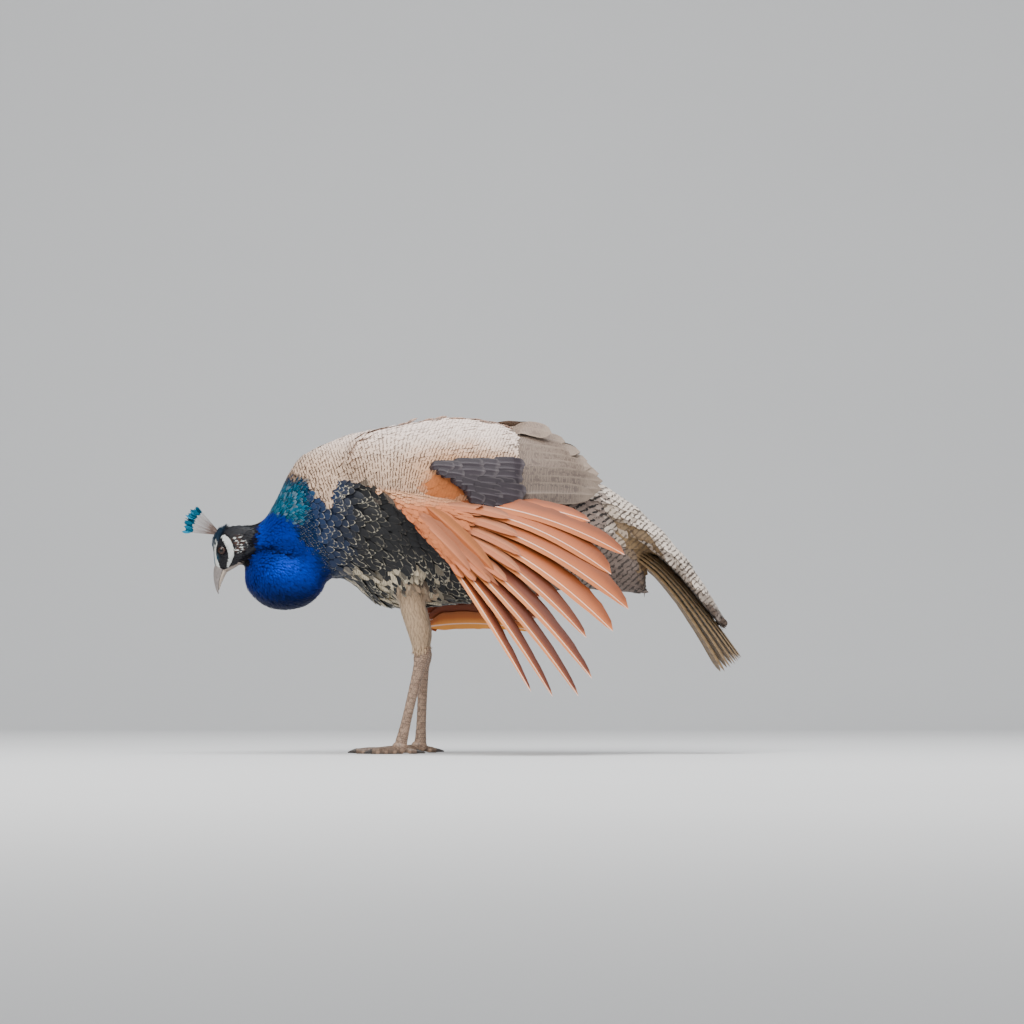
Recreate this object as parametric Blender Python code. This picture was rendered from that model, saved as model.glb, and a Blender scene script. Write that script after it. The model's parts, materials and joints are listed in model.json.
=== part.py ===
"""A young male peafowl, life size, as a still museum model.

It stands with its head drawn down, the crop bulging and the left wing drooped and spread.
Metres, +Z up. The bird faces -X and its left side is towards -Y. The origin is on the floor, under the
middle of the model's box.

The flesh is modelled whole, as lofts through a few sections, and parted with thin plane cuts. Feather groups
are combs: one sheet for each group, whose vanes join near their roots and split into fingers at their tips.
"""
import math

import bmesh
import bpy
import numpy as np
from mathutils import Vector
from mathutils.bvhtree import BVHTree

# ---- Driving dimensions, in metres -------------------------------------------------------------------------
GAP = 0.0003                    # between two pieces that touch
VANE_THICKNESS = 0.0012         # of a sheet of flight feathers
COVERT_THICKNESS = 0.004        # of the layered coverts on the hand
LEFT, RIGHT = -1, 1             # side of the body, as the sign of Y

HEAD_PITCH = math.radians(63)   # how far the bill points below the horizon
EYE = Vector((-0.288, 0.0, 0.281))
EYE_RADIUS = 0.0068
EYE_SPREAD = 0.0128             # of an eye's centre from the middle plane
BILL_LENGTH = 0.032
CREST_LENGTH = 0.053
CREST_PLUMES = 10
CREST_SPREAD = math.radians(44)

HOCK = Vector((-0.009, 0.0, 0.140))
ANKLE = Vector((-0.038, 0.0, 0.017))
REAR_ANKLE_BACK = 0.024         # how far the right foot stands behind the left one
LEG_SPREAD = 0.052              # of a foot from the middle plane
SHANK_RADIUS = 0.0072
TOES = {                        # name: (length, turn outward in degrees, radius at the root)
    "inner": (0.044, -30, 0.0062),
    "middle": (0.062, 0, 0.0068),
    "outer": (0.047, 30, 0.0062),
    "hind": (0.022, 168, 0.0055),
}
CLAW_LENGTH = 0.013

# Sections of the body from nape to vent: (top x, top z, bottom x, bottom z, half width)
BODY_SECTIONS = [
    (-0.250, 0.3200, -0.253, 0.2700, 0.019),
    (-0.234, 0.3230, -0.236, 0.2620, 0.024),
    (-0.220, 0.3460, -0.205, 0.2500, 0.035),
    (-0.209, 0.3690, -0.178, 0.2360, 0.046),
    (-0.191, 0.4050, -0.150, 0.2360, 0.059),
    (-0.163, 0.4270, -0.130, 0.2400, 0.070),
    (-0.125, 0.4450, -0.110, 0.2300, 0.078),
    (-0.086, 0.4540, -0.080, 0.2060, 0.083),
    (-0.048, 0.4570, -0.045, 0.1990, 0.086),
    (0.017, 0.4650, 0.010, 0.2010, 0.087),
    (0.080, 0.4615, 0.075, 0.2080, 0.085),
    (0.135, 0.4470, 0.138, 0.2160, 0.079),
    (0.187, 0.4240, 0.200, 0.2220, 0.070),
    (0.230, 0.3850, 0.252, 0.2200, 0.058),
    (0.262, 0.3460, 0.292, 0.2160, 0.042),
    (0.290, 0.3050, 0.306, 0.2300, 0.020),
]
CROP = dict(at=(-0.1985, 0.0, 0.2460), half=(0.0605, 0.050, 0.0510))       # the bulge of the folded neck
NAPE_FOLD = dict(at=(-0.208, 0.0, 0.3010), half=(0.0290, 0.0385, 0.0270))  # the fold above it

# Head, in its own frame with the eye at the origin: (forward, top, bottom, half width)
HEAD_SECTIONS = [
    (-0.050, -0.0140, -0.0370, 0.0150),
    (-0.043, -0.0040, -0.0430, 0.0195),
    (-0.034, 0.0080, -0.0480, 0.0212),
    (-0.020, 0.0175, -0.0485, 0.0212),
    (-0.006, 0.0172, -0.0400, 0.0196),
    (0.006, 0.0120, -0.0310, 0.0165),
    (0.016, 0.0060, -0.0248, 0.0125),
    (0.0235, 0.0015, -0.0200, 0.0090),
]
BILL_TOP = (0.0015, 0.0005, -0.0035, -0.0105, -0.0180)     # culmen from forehead to tip
BILL_EDGE = (-0.0125, -0.0125, -0.0135, -0.0160, -0.0200)  # cutting edge
BILL_CHIN = (-0.0195, -0.0188, -0.0180, -0.0182)           # under side of the lower half

# Primaries of the left wing from the innermost to the outermost
PRIMARY_FALL = (9, 15.5, 20.7, 26.5, 32.5, 37.2, 44, 49, 54, 58)      # degrees below the horizon
PRIMARY_REACH = (0.220, 0.272, 0.258, 0.293, 0.283, 0.252, 0.286, 0.283, 0.254, 0.224)  # seen from the side
PRIMARY_BOW = (0.022, 0.026, 0.025, 0.025, 0.023, 0.020, 0.019, 0.016, 0.012, 0.005)
LEFT_HAND = (Vector((0.003, -0.110, 0.351)), Vector((0.022, -0.138, 0.279)))
RIGHT_HAND = (Vector((-0.050, 0.117, 0.258)), Vector((-0.008, 0.126, 0.184)))

# The middle tail feather from root to tip, as (x, z)
TAIL_LINE = [(0.270, 0.293), (0.315, 0.265), (0.352, 0.229), (0.384, 0.190), (0.410, 0.156), (0.434, 0.124)]

COLOURS = {
    "blue": ((0.01, 0.07, 0.45), 0.40), "black": ((0.03, 0.03, 0.04), 0.5),
    "barred": ((0.62, 0.52, 0.42), 0.7), "brown": ((0.30, 0.25, 0.21), 0.7),
    "rust": ((0.62, 0.26, 0.11), 0.5), "buff": ((0.48, 0.38, 0.28), 0.8),
    "horn": ((0.42, 0.38, 0.33), 0.4), "leg": ((0.36, 0.28, 0.24), 0.6),
    "claw": ((0.12, 0.10, 0.09), 0.4), "eye": ((0.05, 0.02, 0.01), 0.1),
    "crest": ((0.02, 0.30, 0.36), 0.5),
}


# ---- Small tools --------------------------------------------------------------------------------------------
def material(name):
    """The plain finish of that name, made once."""
    found = bpy.data.materials.get(name)
    if found is None:
        colour, roughness = COLOURS[name]
        found = bpy.data.materials.new(name)
        found.use_nodes = True
        shader = found.node_tree.nodes["Principled BSDF"]
        shader.inputs["Base Color"].default_value = (*colour, 1.0)
        shader.inputs["Roughness"].default_value = roughness
    return found


def solid(name, points, faces, finish):
    """A new object of these points and faces, facing outwards."""
    mesh = bpy.data.meshes.new(name)
    mesh.from_pydata([tuple(p) for p in points], [], [tuple(f) for f in faces])
    shape = bmesh.new()
    shape.from_mesh(mesh)
    bmesh.ops.recalc_face_normals(shape, faces=shape.faces)
    shape.to_mesh(mesh)
    shape.free()
    mesh.shade_smooth()
    mesh.set_sharp_from_angle(angle=math.radians(50))
    thing = bpy.data.objects.new(name, mesh)
    bpy.context.scene.collection.objects.link(thing)
    mesh.materials.append(material(finish))
    return thing


def apply(thing):
    """Makes what the object's modifiers give its own mesh."""
    bpy.context.view_layer.update()
    graph = bpy.context.evaluated_depsgraph_get()
    mesh = bpy.data.meshes.new_from_object(thing.evaluated_get(graph))
    thing.modifiers.clear()
    thing.data = mesh
    return thing


def remove(*things):
    for thing in things:
        bpy.data.objects.remove(thing)


def boolean(thing, other, operation):
    cut = thing.modifiers.new(operation.lower(), "BOOLEAN")
    cut.operation = operation
    cut.solver = "EXACT"
    cut.object = other
    return apply(thing)


def split(thing):
    """Turns the faces into triangles, so that a copy that is swollen later bends along the same lines."""
    shape = bmesh.new()
    shape.from_mesh(thing.data)
    bmesh.ops.triangulate(shape, faces=shape.faces[:])
    shape.to_mesh(thing.data)
    shape.free()


def cut_clear(*things):
    """Takes from each thing what the later ones fill, with a gap all round them. The cuts are made with the
    shapes as they are given, so an overlap goes to the last."""
    cutters = []
    for thing in things[1:]:
        split(thing)
        cutter = bpy.data.objects.new("cutter", thing.data.copy())
        bpy.context.scene.collection.objects.link(cutter)
        swell = cutter.modifiers.new("swell", "DISPLACE")
        swell.mid_level = 0.0
        swell.strength = GAP
        cutters.append(apply(cutter))
    for i, thing in enumerate(things[:-1]):
        for cutter in cutters[i:]:
            boolean(thing, cutter, "DIFFERENCE")
            main_piece(thing)
    remove(*cutters)


def main_piece(thing):
    """Drops the scraps that a cut leaves, so that one body is left."""
    shape = bmesh.new()
    shape.from_mesh(thing.data)
    bodies, seen = [], set()
    for vert in shape.verts:
        if vert in seen:
            continue
        body, edge = [vert], [vert]
        seen.add(vert)
        while edge:
            for link in edge.pop().link_edges:
                for other in link.verts:
                    if other not in seen:
                        seen.add(other)
                        body.append(other)
                        edge.append(other)
        bodies.append(body)
    bodies.sort(key=lambda body: sum(f.calc_area() for f in {f for vert in body for f in vert.link_faces}))
    for body in bodies[:-1]:
        bmesh.ops.delete(shape, geom=body, context="VERTS")
    shape.to_mesh(thing.data)
    shape.free()
    return thing


def joined(thing, *others):
    """Unites the others with thing."""
    for other in others:
        boolean(thing, other, "UNION")
        remove(other)
    return thing


def smooth_rows(rows, steps):
    """Rows of numbers with steps - 1 more between each two, on a Catmull-Rom curve."""
    rows = np.array(rows, float)
    ends = np.vstack([2 * rows[0] - rows[1], rows, 2 * rows[-1] - rows[-2]])
    out = []
    for a, b, c, d in zip(ends, ends[1:], ends[2:], ends[3:]):
        for t in np.arange(steps) / steps:
            out.append(0.5 * (2 * b + (c - a) * t + (2 * a - 5 * b + 4 * c - d) * t**2
                              + (3 * b - a - 3 * c + d) * t**3))
    return np.array(out + [rows[-1]])


def tube(name, rings, finish):
    """A closed loft through rings, each an array of the same number of points, with flat ends."""
    count = len(rings[0])
    points = np.concatenate(rings)
    faces = [[r * count + i, r * count + (i + 1) % count, (r + 1) * count + (i + 1) % count, (r + 1) * count + i]
             for r in range(len(rings) - 1) for i in range(count)]
    last = (len(rings) - 1) * count
    faces += [list(range(count))[::-1], [last + i for i in range(count)]]
    return solid(name, points, faces, finish)


def oval(centre, up, side, sides):
    """A ring of points round centre, with half axes up and side."""
    turns = np.arange(sides) * math.tau / sides
    return np.array(centre) + np.outer(np.cos(turns), up) + np.outer(np.sin(turns), side)


def ball(name, at, half, finish, sides=16, rows=10):
    """An ellipsoid."""
    slices = np.linspace(-1, 1, rows + 1)[1:-1]
    slices = np.sin(slices * math.pi / 2)
    rings = [oval((at[0] + half[0] * s, at[1], at[2]), (0, 0, half[2] * math.sqrt(1 - s * s)),
                  (0, half[1] * math.sqrt(1 - s * s), 0), sides) for s in slices]
    points = np.vstack([np.concatenate(rings), [at[0] - half[0], at[1], at[2]], [at[0] + half[0], at[1], at[2]]])
    first, last, count = len(points) - 2, len(points) - 1, sides
    faces = [[r * count + i, r * count + (i + 1) % count, (r + 1) * count + (i + 1) % count, (r + 1) * count + i]
             for r in range(len(rings) - 1) for i in range(count)]
    faces += [[first, (i + 1) % count, i] for i in range(count)]
    top = (len(rings) - 1) * count
    faces += [[last, top + i, top + (i + 1) % count] for i in range(count)]
    return solid(name, points, faces, finish)


def limb(name, path, radii, finish, sides=10, flat=1.0, floor=None):
    """A tube along a path of points with a radius at each. flat is its width across Y over its depth."""
    path = [Vector(p) for p in path]
    rings = []
    for i, point in enumerate(path):
        along = (path[min(i + 1, len(path) - 1)] - path[max(i - 1, 0)]).normalized()
        side = Vector((0, 1, 0)) if abs(along.y) < 0.9 else Vector((1, 0, 0))
        up = side.cross(along).normalized()
        side = along.cross(up).normalized()
        rings.append(oval(point, up * radii[i], side * radii[i] * flat, sides))
    if floor is not None:
        for ring in rings:
            ring[:, 2] = np.maximum(ring[:, 2], floor)
    return tube(name, rings, finish)


NAPE = ((-0.243, 0, 0.300), Vector((1, 0, 0.25)))    # the cut between head and neck, and its normal


# ---- The flesh, modelled whole ------------------------------------------------------------------------------
def whole_body():
    """Trunk and neck with the crop and the fold of the nape, blended into one closed surface."""
    rows = smooth_rows(BODY_SECTIONS, 3)
    rings = []
    for top_x, top_z, low_x, low_z, half in rows:
        centre = np.array([(top_x + low_x) / 2, 0, (top_z + low_z) / 2])
        up = np.array([(top_x - low_x) / 2, 0, (top_z - low_z) / 2])
        rings.append(oval(centre, up, (0, half, 0), 28))
    body = tube("body", rings, "black")
    crop = ball("crop", **CROP, finish="blue", sides=24, rows=14)
    fold = ball("fold", **NAPE_FOLD, finish="blue", sides=20, rows=12)
    for lump in (crop, fold):
        boolean(body, lump, "UNION")
        remove(lump)
    blend = body.modifiers.new("blend", "REMESH")
    blend.mode = "VOXEL"
    blend.voxel_size = 0.005
    soften = body.modifiers.new("soften", "SMOOTH")
    soften.iterations = 3
    apply(body)
    fewer = body.modifiers.new("fewer", "DECIMATE")
    fewer.ratio = 0.031
    return apply(body)


def keep_side(thing, point, normal):
    """Cuts thing with a plane and keeps what lies ahead of it, closing the cut."""
    shape = bmesh.new()
    shape.from_mesh(thing.data)
    geometry = shape.verts[:] + shape.edges[:] + shape.faces[:]
    cut = bmesh.ops.bisect_plane(shape, geom=geometry, plane_co=point, plane_no=normal, clear_inner=True)
    edges = [e for e in cut["geom_cut"] if isinstance(e, bmesh.types.BMEdge)]
    bmesh.ops.contextual_create(shape, geom=edges)
    bmesh.ops.triangulate(shape, faces=shape.faces[:])
    shape.to_mesh(thing.data)
    shape.free()


def part_off(body, name, finish, cuts):
    """The stretch of the body ahead of each (point, normal) plane, half a gap inside it."""
    piece = bpy.data.objects.new(name, body.data.copy())
    bpy.context.scene.collection.objects.link(piece)
    for point, normal in cuts:
        normal = Vector(normal).normalized()
        keep_side(piece, Vector(point) + normal * GAP / 2, normal)
    piece.data.materials.clear()
    piece.data.materials.append(material(finish))
    return piece


def flesh(body):
    """Neck, breast, trunk and rump, parted by four plane cuts."""
    throat = ((-0.225, 0, 0.2765), Vector((-0.22, 0, 1)))
    chest = ((-0.170, 0, 0.330), Vector((1, 0, 0.30)))
    waist = ((-0.066, 0, 0.330), Vector((1, 0, 0)))
    loin = ((0.115, 0, 0.330), Vector((1, 0, 0.10)))

    def back(cut):
        return cut[0], -cut[1]

    return {
        "neck_upper": part_off(body, "neck_upper", "blue", [NAPE, throat, back(chest)]),
        "neck_lower": part_off(body, "neck_lower", "blue", [back(throat), back(chest)]),
        "breast": part_off(body, "breast", "black", [chest, back(waist)]),
        "trunk": part_off(body, "trunk", "barred", [waist, back(loin)]),
        "rump": part_off(body, "rump", "barred", [loin]),
    }


# ---- Head ---------------------------------------------------------------------------------------------------
HEAD_FORWARD = Vector((-math.cos(HEAD_PITCH), 0, -math.sin(HEAD_PITCH)))
HEAD_UP = Vector((-math.sin(HEAD_PITCH), 0, math.cos(HEAD_PITCH)))


def on_head(forward, up, side=0.0):
    """A point given in the head's own frame."""
    return EYE + HEAD_FORWARD * forward + HEAD_UP * up + Vector((0, side, 0))


def head_tube(name, rows, finish, sides=14):
    """A loft of ovals square to the head's axis, from rows of (forward, top, bottom, half width)."""
    rings = [oval(on_head(f, (t + b) / 2), HEAD_UP * (t - b) / 2, Vector((0, w, 0)), sides) for f, t, b, w in rows]
    return tube(name, rings, finish)


def make_head(body):
    """The head, cut where it meets the neck, with the eyes set in it, and the two halves of the bill."""
    head = head_tube("head", smooth_rows(HEAD_SECTIONS, 2), "blue")
    point, normal = NAPE
    keep_side(head, Vector(point) - Vector(normal).normalized() * GAP / 2, -Vector(normal).normalized())
    cut_clear(head, body)
    eyes = []
    for name, side in (("eye_left", LEFT), ("eye_right", RIGHT)):
        half = (EYE_RADIUS, EYE_RADIUS, EYE_RADIUS)
        eyes.append(ball(name, on_head(0, 0, side * EYE_SPREAD), half, "eye", 12, 6))
    for eye in eyes:
        cut_clear(head, eye)
    start = HEAD_SECTIONS[-1][0] + GAP
    ahead = start + BILL_LENGTH * np.array([0, 0.25, 0.55, 0.85, 1.0])
    widths = (0.0088, 0.0078, 0.0062, 0.0038, 0.0008)
    upper = [(f, t, e, w) for f, t, e, w in zip(ahead, BILL_TOP, BILL_EDGE, widths)]
    head_tube("bill_upper", upper, "horn", 12)
    lower = [(f, e - GAP, c, w * 0.9) for f, e, c, w in zip(ahead, BILL_EDGE, BILL_CHIN, widths)]
    head_tube("bill_lower", lower, "horn", 12)
    return head


def make_crest(head):
    """A fan of bare quills with a blade at each tip, upright on the crown."""
    root = on_head(-0.019, 0.0165)
    shafts = []
    for i in range(CREST_PLUMES):
        turn = CREST_SPREAD * (i / (CREST_PLUMES - 1) - 0.5)
        way = HEAD_UP * math.cos(turn) + HEAD_FORWARD * math.sin(turn)
        foot = root + HEAD_FORWARD * 0.006 * math.sin(turn)
        shafts.append([foot + way * CREST_LENGTH * share for share in (-0.08, 0.12, 0.70, 0.84, 1.0)])
    crest = comb("crest", shafts, (0.0007, 0.0007, 0.0008, 0.0017, 0.0), 0.0009, "crest", joined_rows=2)
    cut_clear(crest, head)


# ---- Sheets of feathers -------------------------------------------------------------------------------------
def comb(name, shafts, half_widths, thickness, finish, joined_rows=1):
    """One sheet for a row of feathers. Each shaft is a list of points from root to tip, and half_widths gives
    the vane's half width at each of them, or a list of such lists with one for each shaft. Neighbours share
    their edge as long as their vanes would touch, and then split."""
    shafts = np.array([[tuple(p) for p in shaft] for shaft in shafts])
    feathers, rows = shafts.shape[:2]
    wide = np.broadcast_to(np.array(half_widths, float), (feathers, rows))
    points, faces = [], []

    def add(p):
        points.append(p)
        return len(points) - 1

    def across(i, k):
        """Unit direction from feather i towards the next one, at row k."""
        a, b = shafts[max(i - 1, 0), k], shafts[min(i + 1, feathers - 1), k]
        return (b - a) / max(np.linalg.norm(b - a), 1e-9)

    low = np.zeros((feathers, rows), int)
    mid = np.zeros((feathers, rows), int)
    high = np.zeros((feathers, rows), int)
    for i in range(feathers):
        for k in range(rows):
            mid[i, k] = add(shafts[i, k])
    for i in range(-1, feathers):
        split = False
        for k in range(rows):
            if k == rows - 1:
                ends = (mid[i, k] if i >= 0 else None, mid[i + 1, k] if i + 1 < feathers else None)
            elif 0 <= i < feathers - 1:
                here, there = shafts[i, k], shafts[i + 1, k]
                apart = np.linalg.norm(there - here)
                split = split or (k >= joined_rows and apart > wide[i, k] + wide[i + 1, k] + 0.0006)
                if split:
                    room = max(apart / 2 - 0.0002, 0.0002)
                    toward = (there - here) / apart
                    ends = (add(here + toward * min(wide[i, k], room)), add(there - toward * min(wide[i + 1, k], room)))
                else:
                    ends = (add((here + there) / 2),) * 2
            elif i < 0:
                ends = (None, add(shafts[0, k] - across(0, k) * wide[0, k]))
            else:
                ends = (add(shafts[i, k] + across(i, k) * wide[i, k]), None)
            if i >= 0:
                high[i, k] = ends[0]
            if i + 1 < feathers:
                low[i + 1, k] = ends[1]
    for i in range(feathers):
        for k in range(rows - 1):
            for left, right in ((low, mid), (mid, high)):
                face = [left[i, k], right[i, k], right[i, k + 1], left[i, k + 1]]
                faces.append(list(dict.fromkeys(face)))
    sheet = solid(name, points, faces, finish)
    wall = sheet.modifiers.new("wall", "SOLIDIFY")
    wall.thickness = thickness
    wall.offset = 0.0
    return apply(sheet)


def spaced(rows):
    """Shares of a feather's length from 0 to 1, closer together towards the tip where it rounds off."""
    t = np.linspace(0, 1, rows)
    return 1.35 * t - 0.35 * t * t


def vane_widths(rows, half, point=0.25):
    """Half widths along a feather that is full over most of its length and rounds off over its last part."""
    t = spaced(rows)
    return half * np.minimum(1, 0.75 + 1.5 * t) * np.sqrt(np.clip(1 - np.clip((t - 1 + point) / point, 0, 1) ** 2, 0, 1))


def bowed(root, tip, bow, rows):
    """Points from root to tip on a shallow arc that rises above the chord by bow, square to it."""
    root, tip = Vector(root), Vector(tip)
    chord = tip - root
    rise = Vector((-chord.z, 0, chord.x)).normalized()
    if rise.z < 0:
        rise.negate()
    return [root + chord * t + rise * bow * 4 * t * (1 - t) for t in np.linspace(0, 1, rows)]


def section_at(x):
    """Height of the body's middle, half height and half width at x."""
    rows = np.array(BODY_SECTIONS)
    top = np.interp(x, rows[:, 0], rows[:, 1])
    low = np.interp(x, rows[:, 2], rows[:, 3])
    half = np.interp(x, (rows[:, 0] + rows[:, 2]) / 2, rows[:, 4])
    return (top + low) / 2, (top - low) / 2, half


def around(x, z):
    """The angle round the body, from the top, of a point at height z on the section at x."""
    middle, tall, _ = section_at(x)
    return math.acos(max(-0.98, min(0.98, (z - middle) / tall)))


def flank(tree, x, turn, side, clear):
    """The point of the body's surface at x and that turn from its top, raised off it by clear."""
    middle, tall, half = section_at(x)
    way = Vector((0, side * half * math.sin(turn), tall * math.cos(turn))).normalized()
    axis = Vector((x, 0, middle))
    hit, normal, _, _ = tree.ray_cast(axis + way * 0.4, -way)
    if hit is None or (hit - axis).dot(way) < 0:
        hit, normal, _, _ = tree.find_nearest(axis + way * tall)
    return hit + normal * clear


def patch(tree, name, side, outline, thickness, clear, finish, steps=1, columns=5):
    """Layered feathers that lie on the body: a lens on the flank, between a lower and an upper height at each
    x, from rows of (x, lower z, upper z). It is thickness thick and its rim stands clear of the skin."""
    rows = smooth_rows(outline, steps)
    outer, inner = [], []
    for r, (x, low, high) in enumerate(rows):
        u = r / (len(rows) - 1)
        start, stop = around(x, low), around(x, high)
        for c in range(columns):
            v = c / (columns - 1)
            swell = (math.sin(math.pi * (0.06 + 0.88 * u)) * math.sin(math.pi * (0.08 + 0.84 * v))) ** 0.5
            turn = start + (stop - start) * v
            outer.append(flank(tree, x, turn, side, clear + thickness * swell))
            inner.append(flank(tree, x, turn, side, -0.006))
    count = len(rows) * columns
    faces = []
    for r in range(len(rows) - 1):
        for c in range(columns - 1):
            a = r * columns + c
            quad = [a, a + 1, a + columns + 1, a + columns]
            faces.append(quad)
            faces.append([count + i for i in reversed(quad)])
    rim = [c for c in range(columns)]
    rim += [r * columns + columns - 1 for r in range(1, len(rows))]
    rim += [count - 1 - c for c in range(1, columns)]
    rim += [r * columns for r in range(len(rows) - 2, 0, -1)]
    for a, b in zip(rim, rim[1:] + rim[:1]):
        faces.append([a, b, count + b, count + a])
    return solid(name, outer + inner, faces, finish)


def primaries(side, hand, falls, reaches, bows, outward, rows=6, lift=0.0, share=1.0):
    """Shafts of the ten primaries. They leave the hand evenly along it, fall by falls degrees, and their tips
    stand outward by a share of their reach that grows towards the outermost. lift raises the sheet."""
    shafts = []
    for i, (fall, reach, bow) in enumerate(zip(falls, reaches, bows)):
        t = i / (len(falls) - 1)
        root = hand[0].lerp(hand[1], t)
        fall = math.radians(fall)
        away = side * reach * (outward[0] + (outward[1] - outward[0]) * t)
        tip = root + Vector((math.cos(fall) * reach, away, -math.sin(fall) * reach))
        path = bowed(root, tip, bow, 101)
        path = [path[round(100 * share * t)] for t in spaced(rows)]
        shafts.append([p + Vector((0, side * lift, lift * 0.4)) for p in path])
    return shafts


# ---- Wings --------------------------------------------------------------------------------------------------
def blade(name, stations, finish):
    """A limb as flat as a wing: a loft of wing sections, each from its leading to its trailing point, with a
    round front and a thin rear, from rows of (leading, trailing, thickness)."""
    rings = []
    chords = [Vector(t) - Vector(l) for l, t, _ in stations]
    for i, (lead, trail, thick) in enumerate(stations):
        lead, trail = Vector(lead), Vector(trail)
        down = Vector(stations[min(i + 1, len(stations) - 1)][0]) - Vector(stations[max(i - 1, 0)][0])
        out = chords[i].cross(down).normalized()
        ring = []
        for share, lift in ((0.0, 0.0), (0.05, 0.38), (0.25, 0.5), (0.60, 0.38), (1.0, 0.12),
                            (1.0, -0.12), (0.60, -0.38), (0.25, -0.5), (0.05, -0.38)):
            ring.append(lead.lerp(trail, share) + out * thick * lift)
        rings.append(np.array([tuple(p) for p in ring]))
    return tube(name, rings, finish)


def wing(tree, side, arm_outline, flight_outline, hand_line, hand_stations, fan, outward, half_widths, covered):
    """One wing: coverts over the upper arm, closed flight feathers of the forearm, the hand with its coverts,
    and the ten primaries. fan holds each primary's fall, reach and bow, and covered the coverts' share of
    it."""
    label = "left" if side == LEFT else "right"
    arm = patch(tree, f"wing_{label}_shoulder", side, arm_outline, 0.015, 0.003, "barred")
    flight = patch(tree, f"wing_{label}_secondaries", side, flight_outline, 0.005, 0.002, "brown")
    shafts = primaries(side, hand_line, *fan, outward)
    widths = [vane_widths(6, half, 0.3) for half in half_widths]
    vanes = comb(f"wing_{label}_primaries", shafts, widths, VANE_THICKNESS, "rust", joined_rows=2)
    cover = primaries(side, hand_line, *fan, outward, 4, 0.0050, covered)
    widths = [vane_widths(4, half * 0.8, 0.4) for half in half_widths]
    hand = comb(f"wing_{label}_hand", cover, widths, COVERT_THICKNESS, "rust")
    joined(hand, blade("wrist", hand_stations, "rust"))
    return vanes, hand, flight, arm


def left_wing(tree):
    """The near wing: its hand hangs away from the body and spreads its primaries."""
    return wing(
        tree, LEFT,
        [(-0.122, 0.392, 0.425), (-0.100, 0.374, 0.440), (-0.065, 0.352, 0.450), (-0.025, 0.330, 0.456),
         (0.010, 0.326, 0.462), (0.050, 0.334, 0.464), (0.090, 0.338, 0.460), (0.121, 0.342, 0.450)],
        [(0.100, 0.346, 0.455), (0.125, 0.343, 0.449), (0.150, 0.340, 0.441), (0.185, 0.338, 0.424),
         (0.214, 0.338, 0.402), (0.240, 0.340, 0.364)],
        LEFT_HAND,
        [((-0.084, -0.082, 0.372), (0.090, -0.088, 0.352), 0.008), ((-0.058, -0.100, 0.358), (0.080, -0.104, 0.342), 0.011),
         ((-0.034, -0.118, 0.330), (0.055, -0.120, 0.325), 0.011), ((-0.008, -0.133, 0.299), (0.045, -0.136, 0.296), 0.010),
         ((0.028, -0.148, 0.264), (0.043, -0.147, 0.266), 0.005)],
        (PRIMARY_FALL, PRIMARY_REACH, PRIMARY_BOW), (0.08, 0.50),
        [0.016 - 0.0005 * i for i in range(10)], 0.47)


def right_wing(tree):
    """The far wing hangs half folded along the flank."""
    return wing(
        tree, RIGHT,
        [(-0.122, 0.386, 0.425), (-0.100, 0.352, 0.440), (-0.065, 0.322, 0.450), (-0.025, 0.310, 0.456),
         (0.010, 0.312, 0.462), (0.050, 0.322, 0.464), (0.090, 0.334, 0.460), (0.121, 0.340, 0.450)],
        [(-0.030, 0.296, 0.330), (0.020, 0.285, 0.400), (0.070, 0.262, 0.440), (0.110, 0.248, 0.450),
         (0.150, 0.246, 0.441), (0.185, 0.246, 0.424), (0.214, 0.248, 0.402), (0.245, 0.262, 0.350)],
        RIGHT_HAND,
        [((-0.100, 0.080, 0.352), (0.070, 0.088, 0.335), 0.008), ((-0.084, 0.098, 0.322), (0.050, 0.103, 0.312), 0.011),
         ((-0.068, 0.111, 0.286), (0.020, 0.117, 0.282), 0.011), ((-0.042, 0.122, 0.234), (0.002, 0.126, 0.234), 0.010),
         ((-0.008, 0.131, 0.180), (0.006, 0.130, 0.184), 0.005)],
        ([0.5 * i - 2 for i in range(10)], [0.230 - 0.0016 * (i - 4) ** 2 for i in range(10)],
         [0.008] * 10), (0.03, 0.16), [0.0125] * 10, 0.42)


# ---- Tail ---------------------------------------------------------------------------------------------------
def make_tail():
    """The short train of upper tail coverts over the closed fan of tail feathers."""
    # (top x, top z, bottom x, bottom z, half width) down the train
    rows = smooth_rows([(0.190, 0.407, 0.206, 0.368, 0.040), (0.236, 0.381, 0.218, 0.330, 0.056),
                        (0.276, 0.355, 0.252, 0.310, 0.058), (0.315, 0.321, 0.288, 0.289, 0.058),
                        (0.350, 0.281, 0.328, 0.260, 0.054), (0.381, 0.236, 0.362, 0.223, 0.046),
                        (0.402, 0.200, 0.388, 0.191, 0.034), (0.417, 0.174, 0.411, 0.170, 0.014)], 1)
    rings = []
    for top_x, top_z, low_x, low_z, half in rows:
        centre = ((top_x + low_x) / 2, 0, (top_z + low_z) / 2)
        rings.append(oval(centre, ((top_x - low_x) / 2, 0, (top_z - low_z) / 2), (0, half, 0), 16))
    train = tube("tail_coverts", rings, "barred")
    shafts = []
    for i in range(9):
        t = i / 8 * 2 - 1
        shafts.append([(x - 0.026 * t * t * k / 5, t * (0.022 + 0.046 * k / 5), z - 0.008 * t * t)
                       for k, (x, z) in enumerate(TAIL_LINE)])
    fan = comb("tail_feathers", shafts, vane_widths(6, 0.0115, 0.3), 0.0016, "brown", joined_rows=2)
    return fan, train


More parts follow.
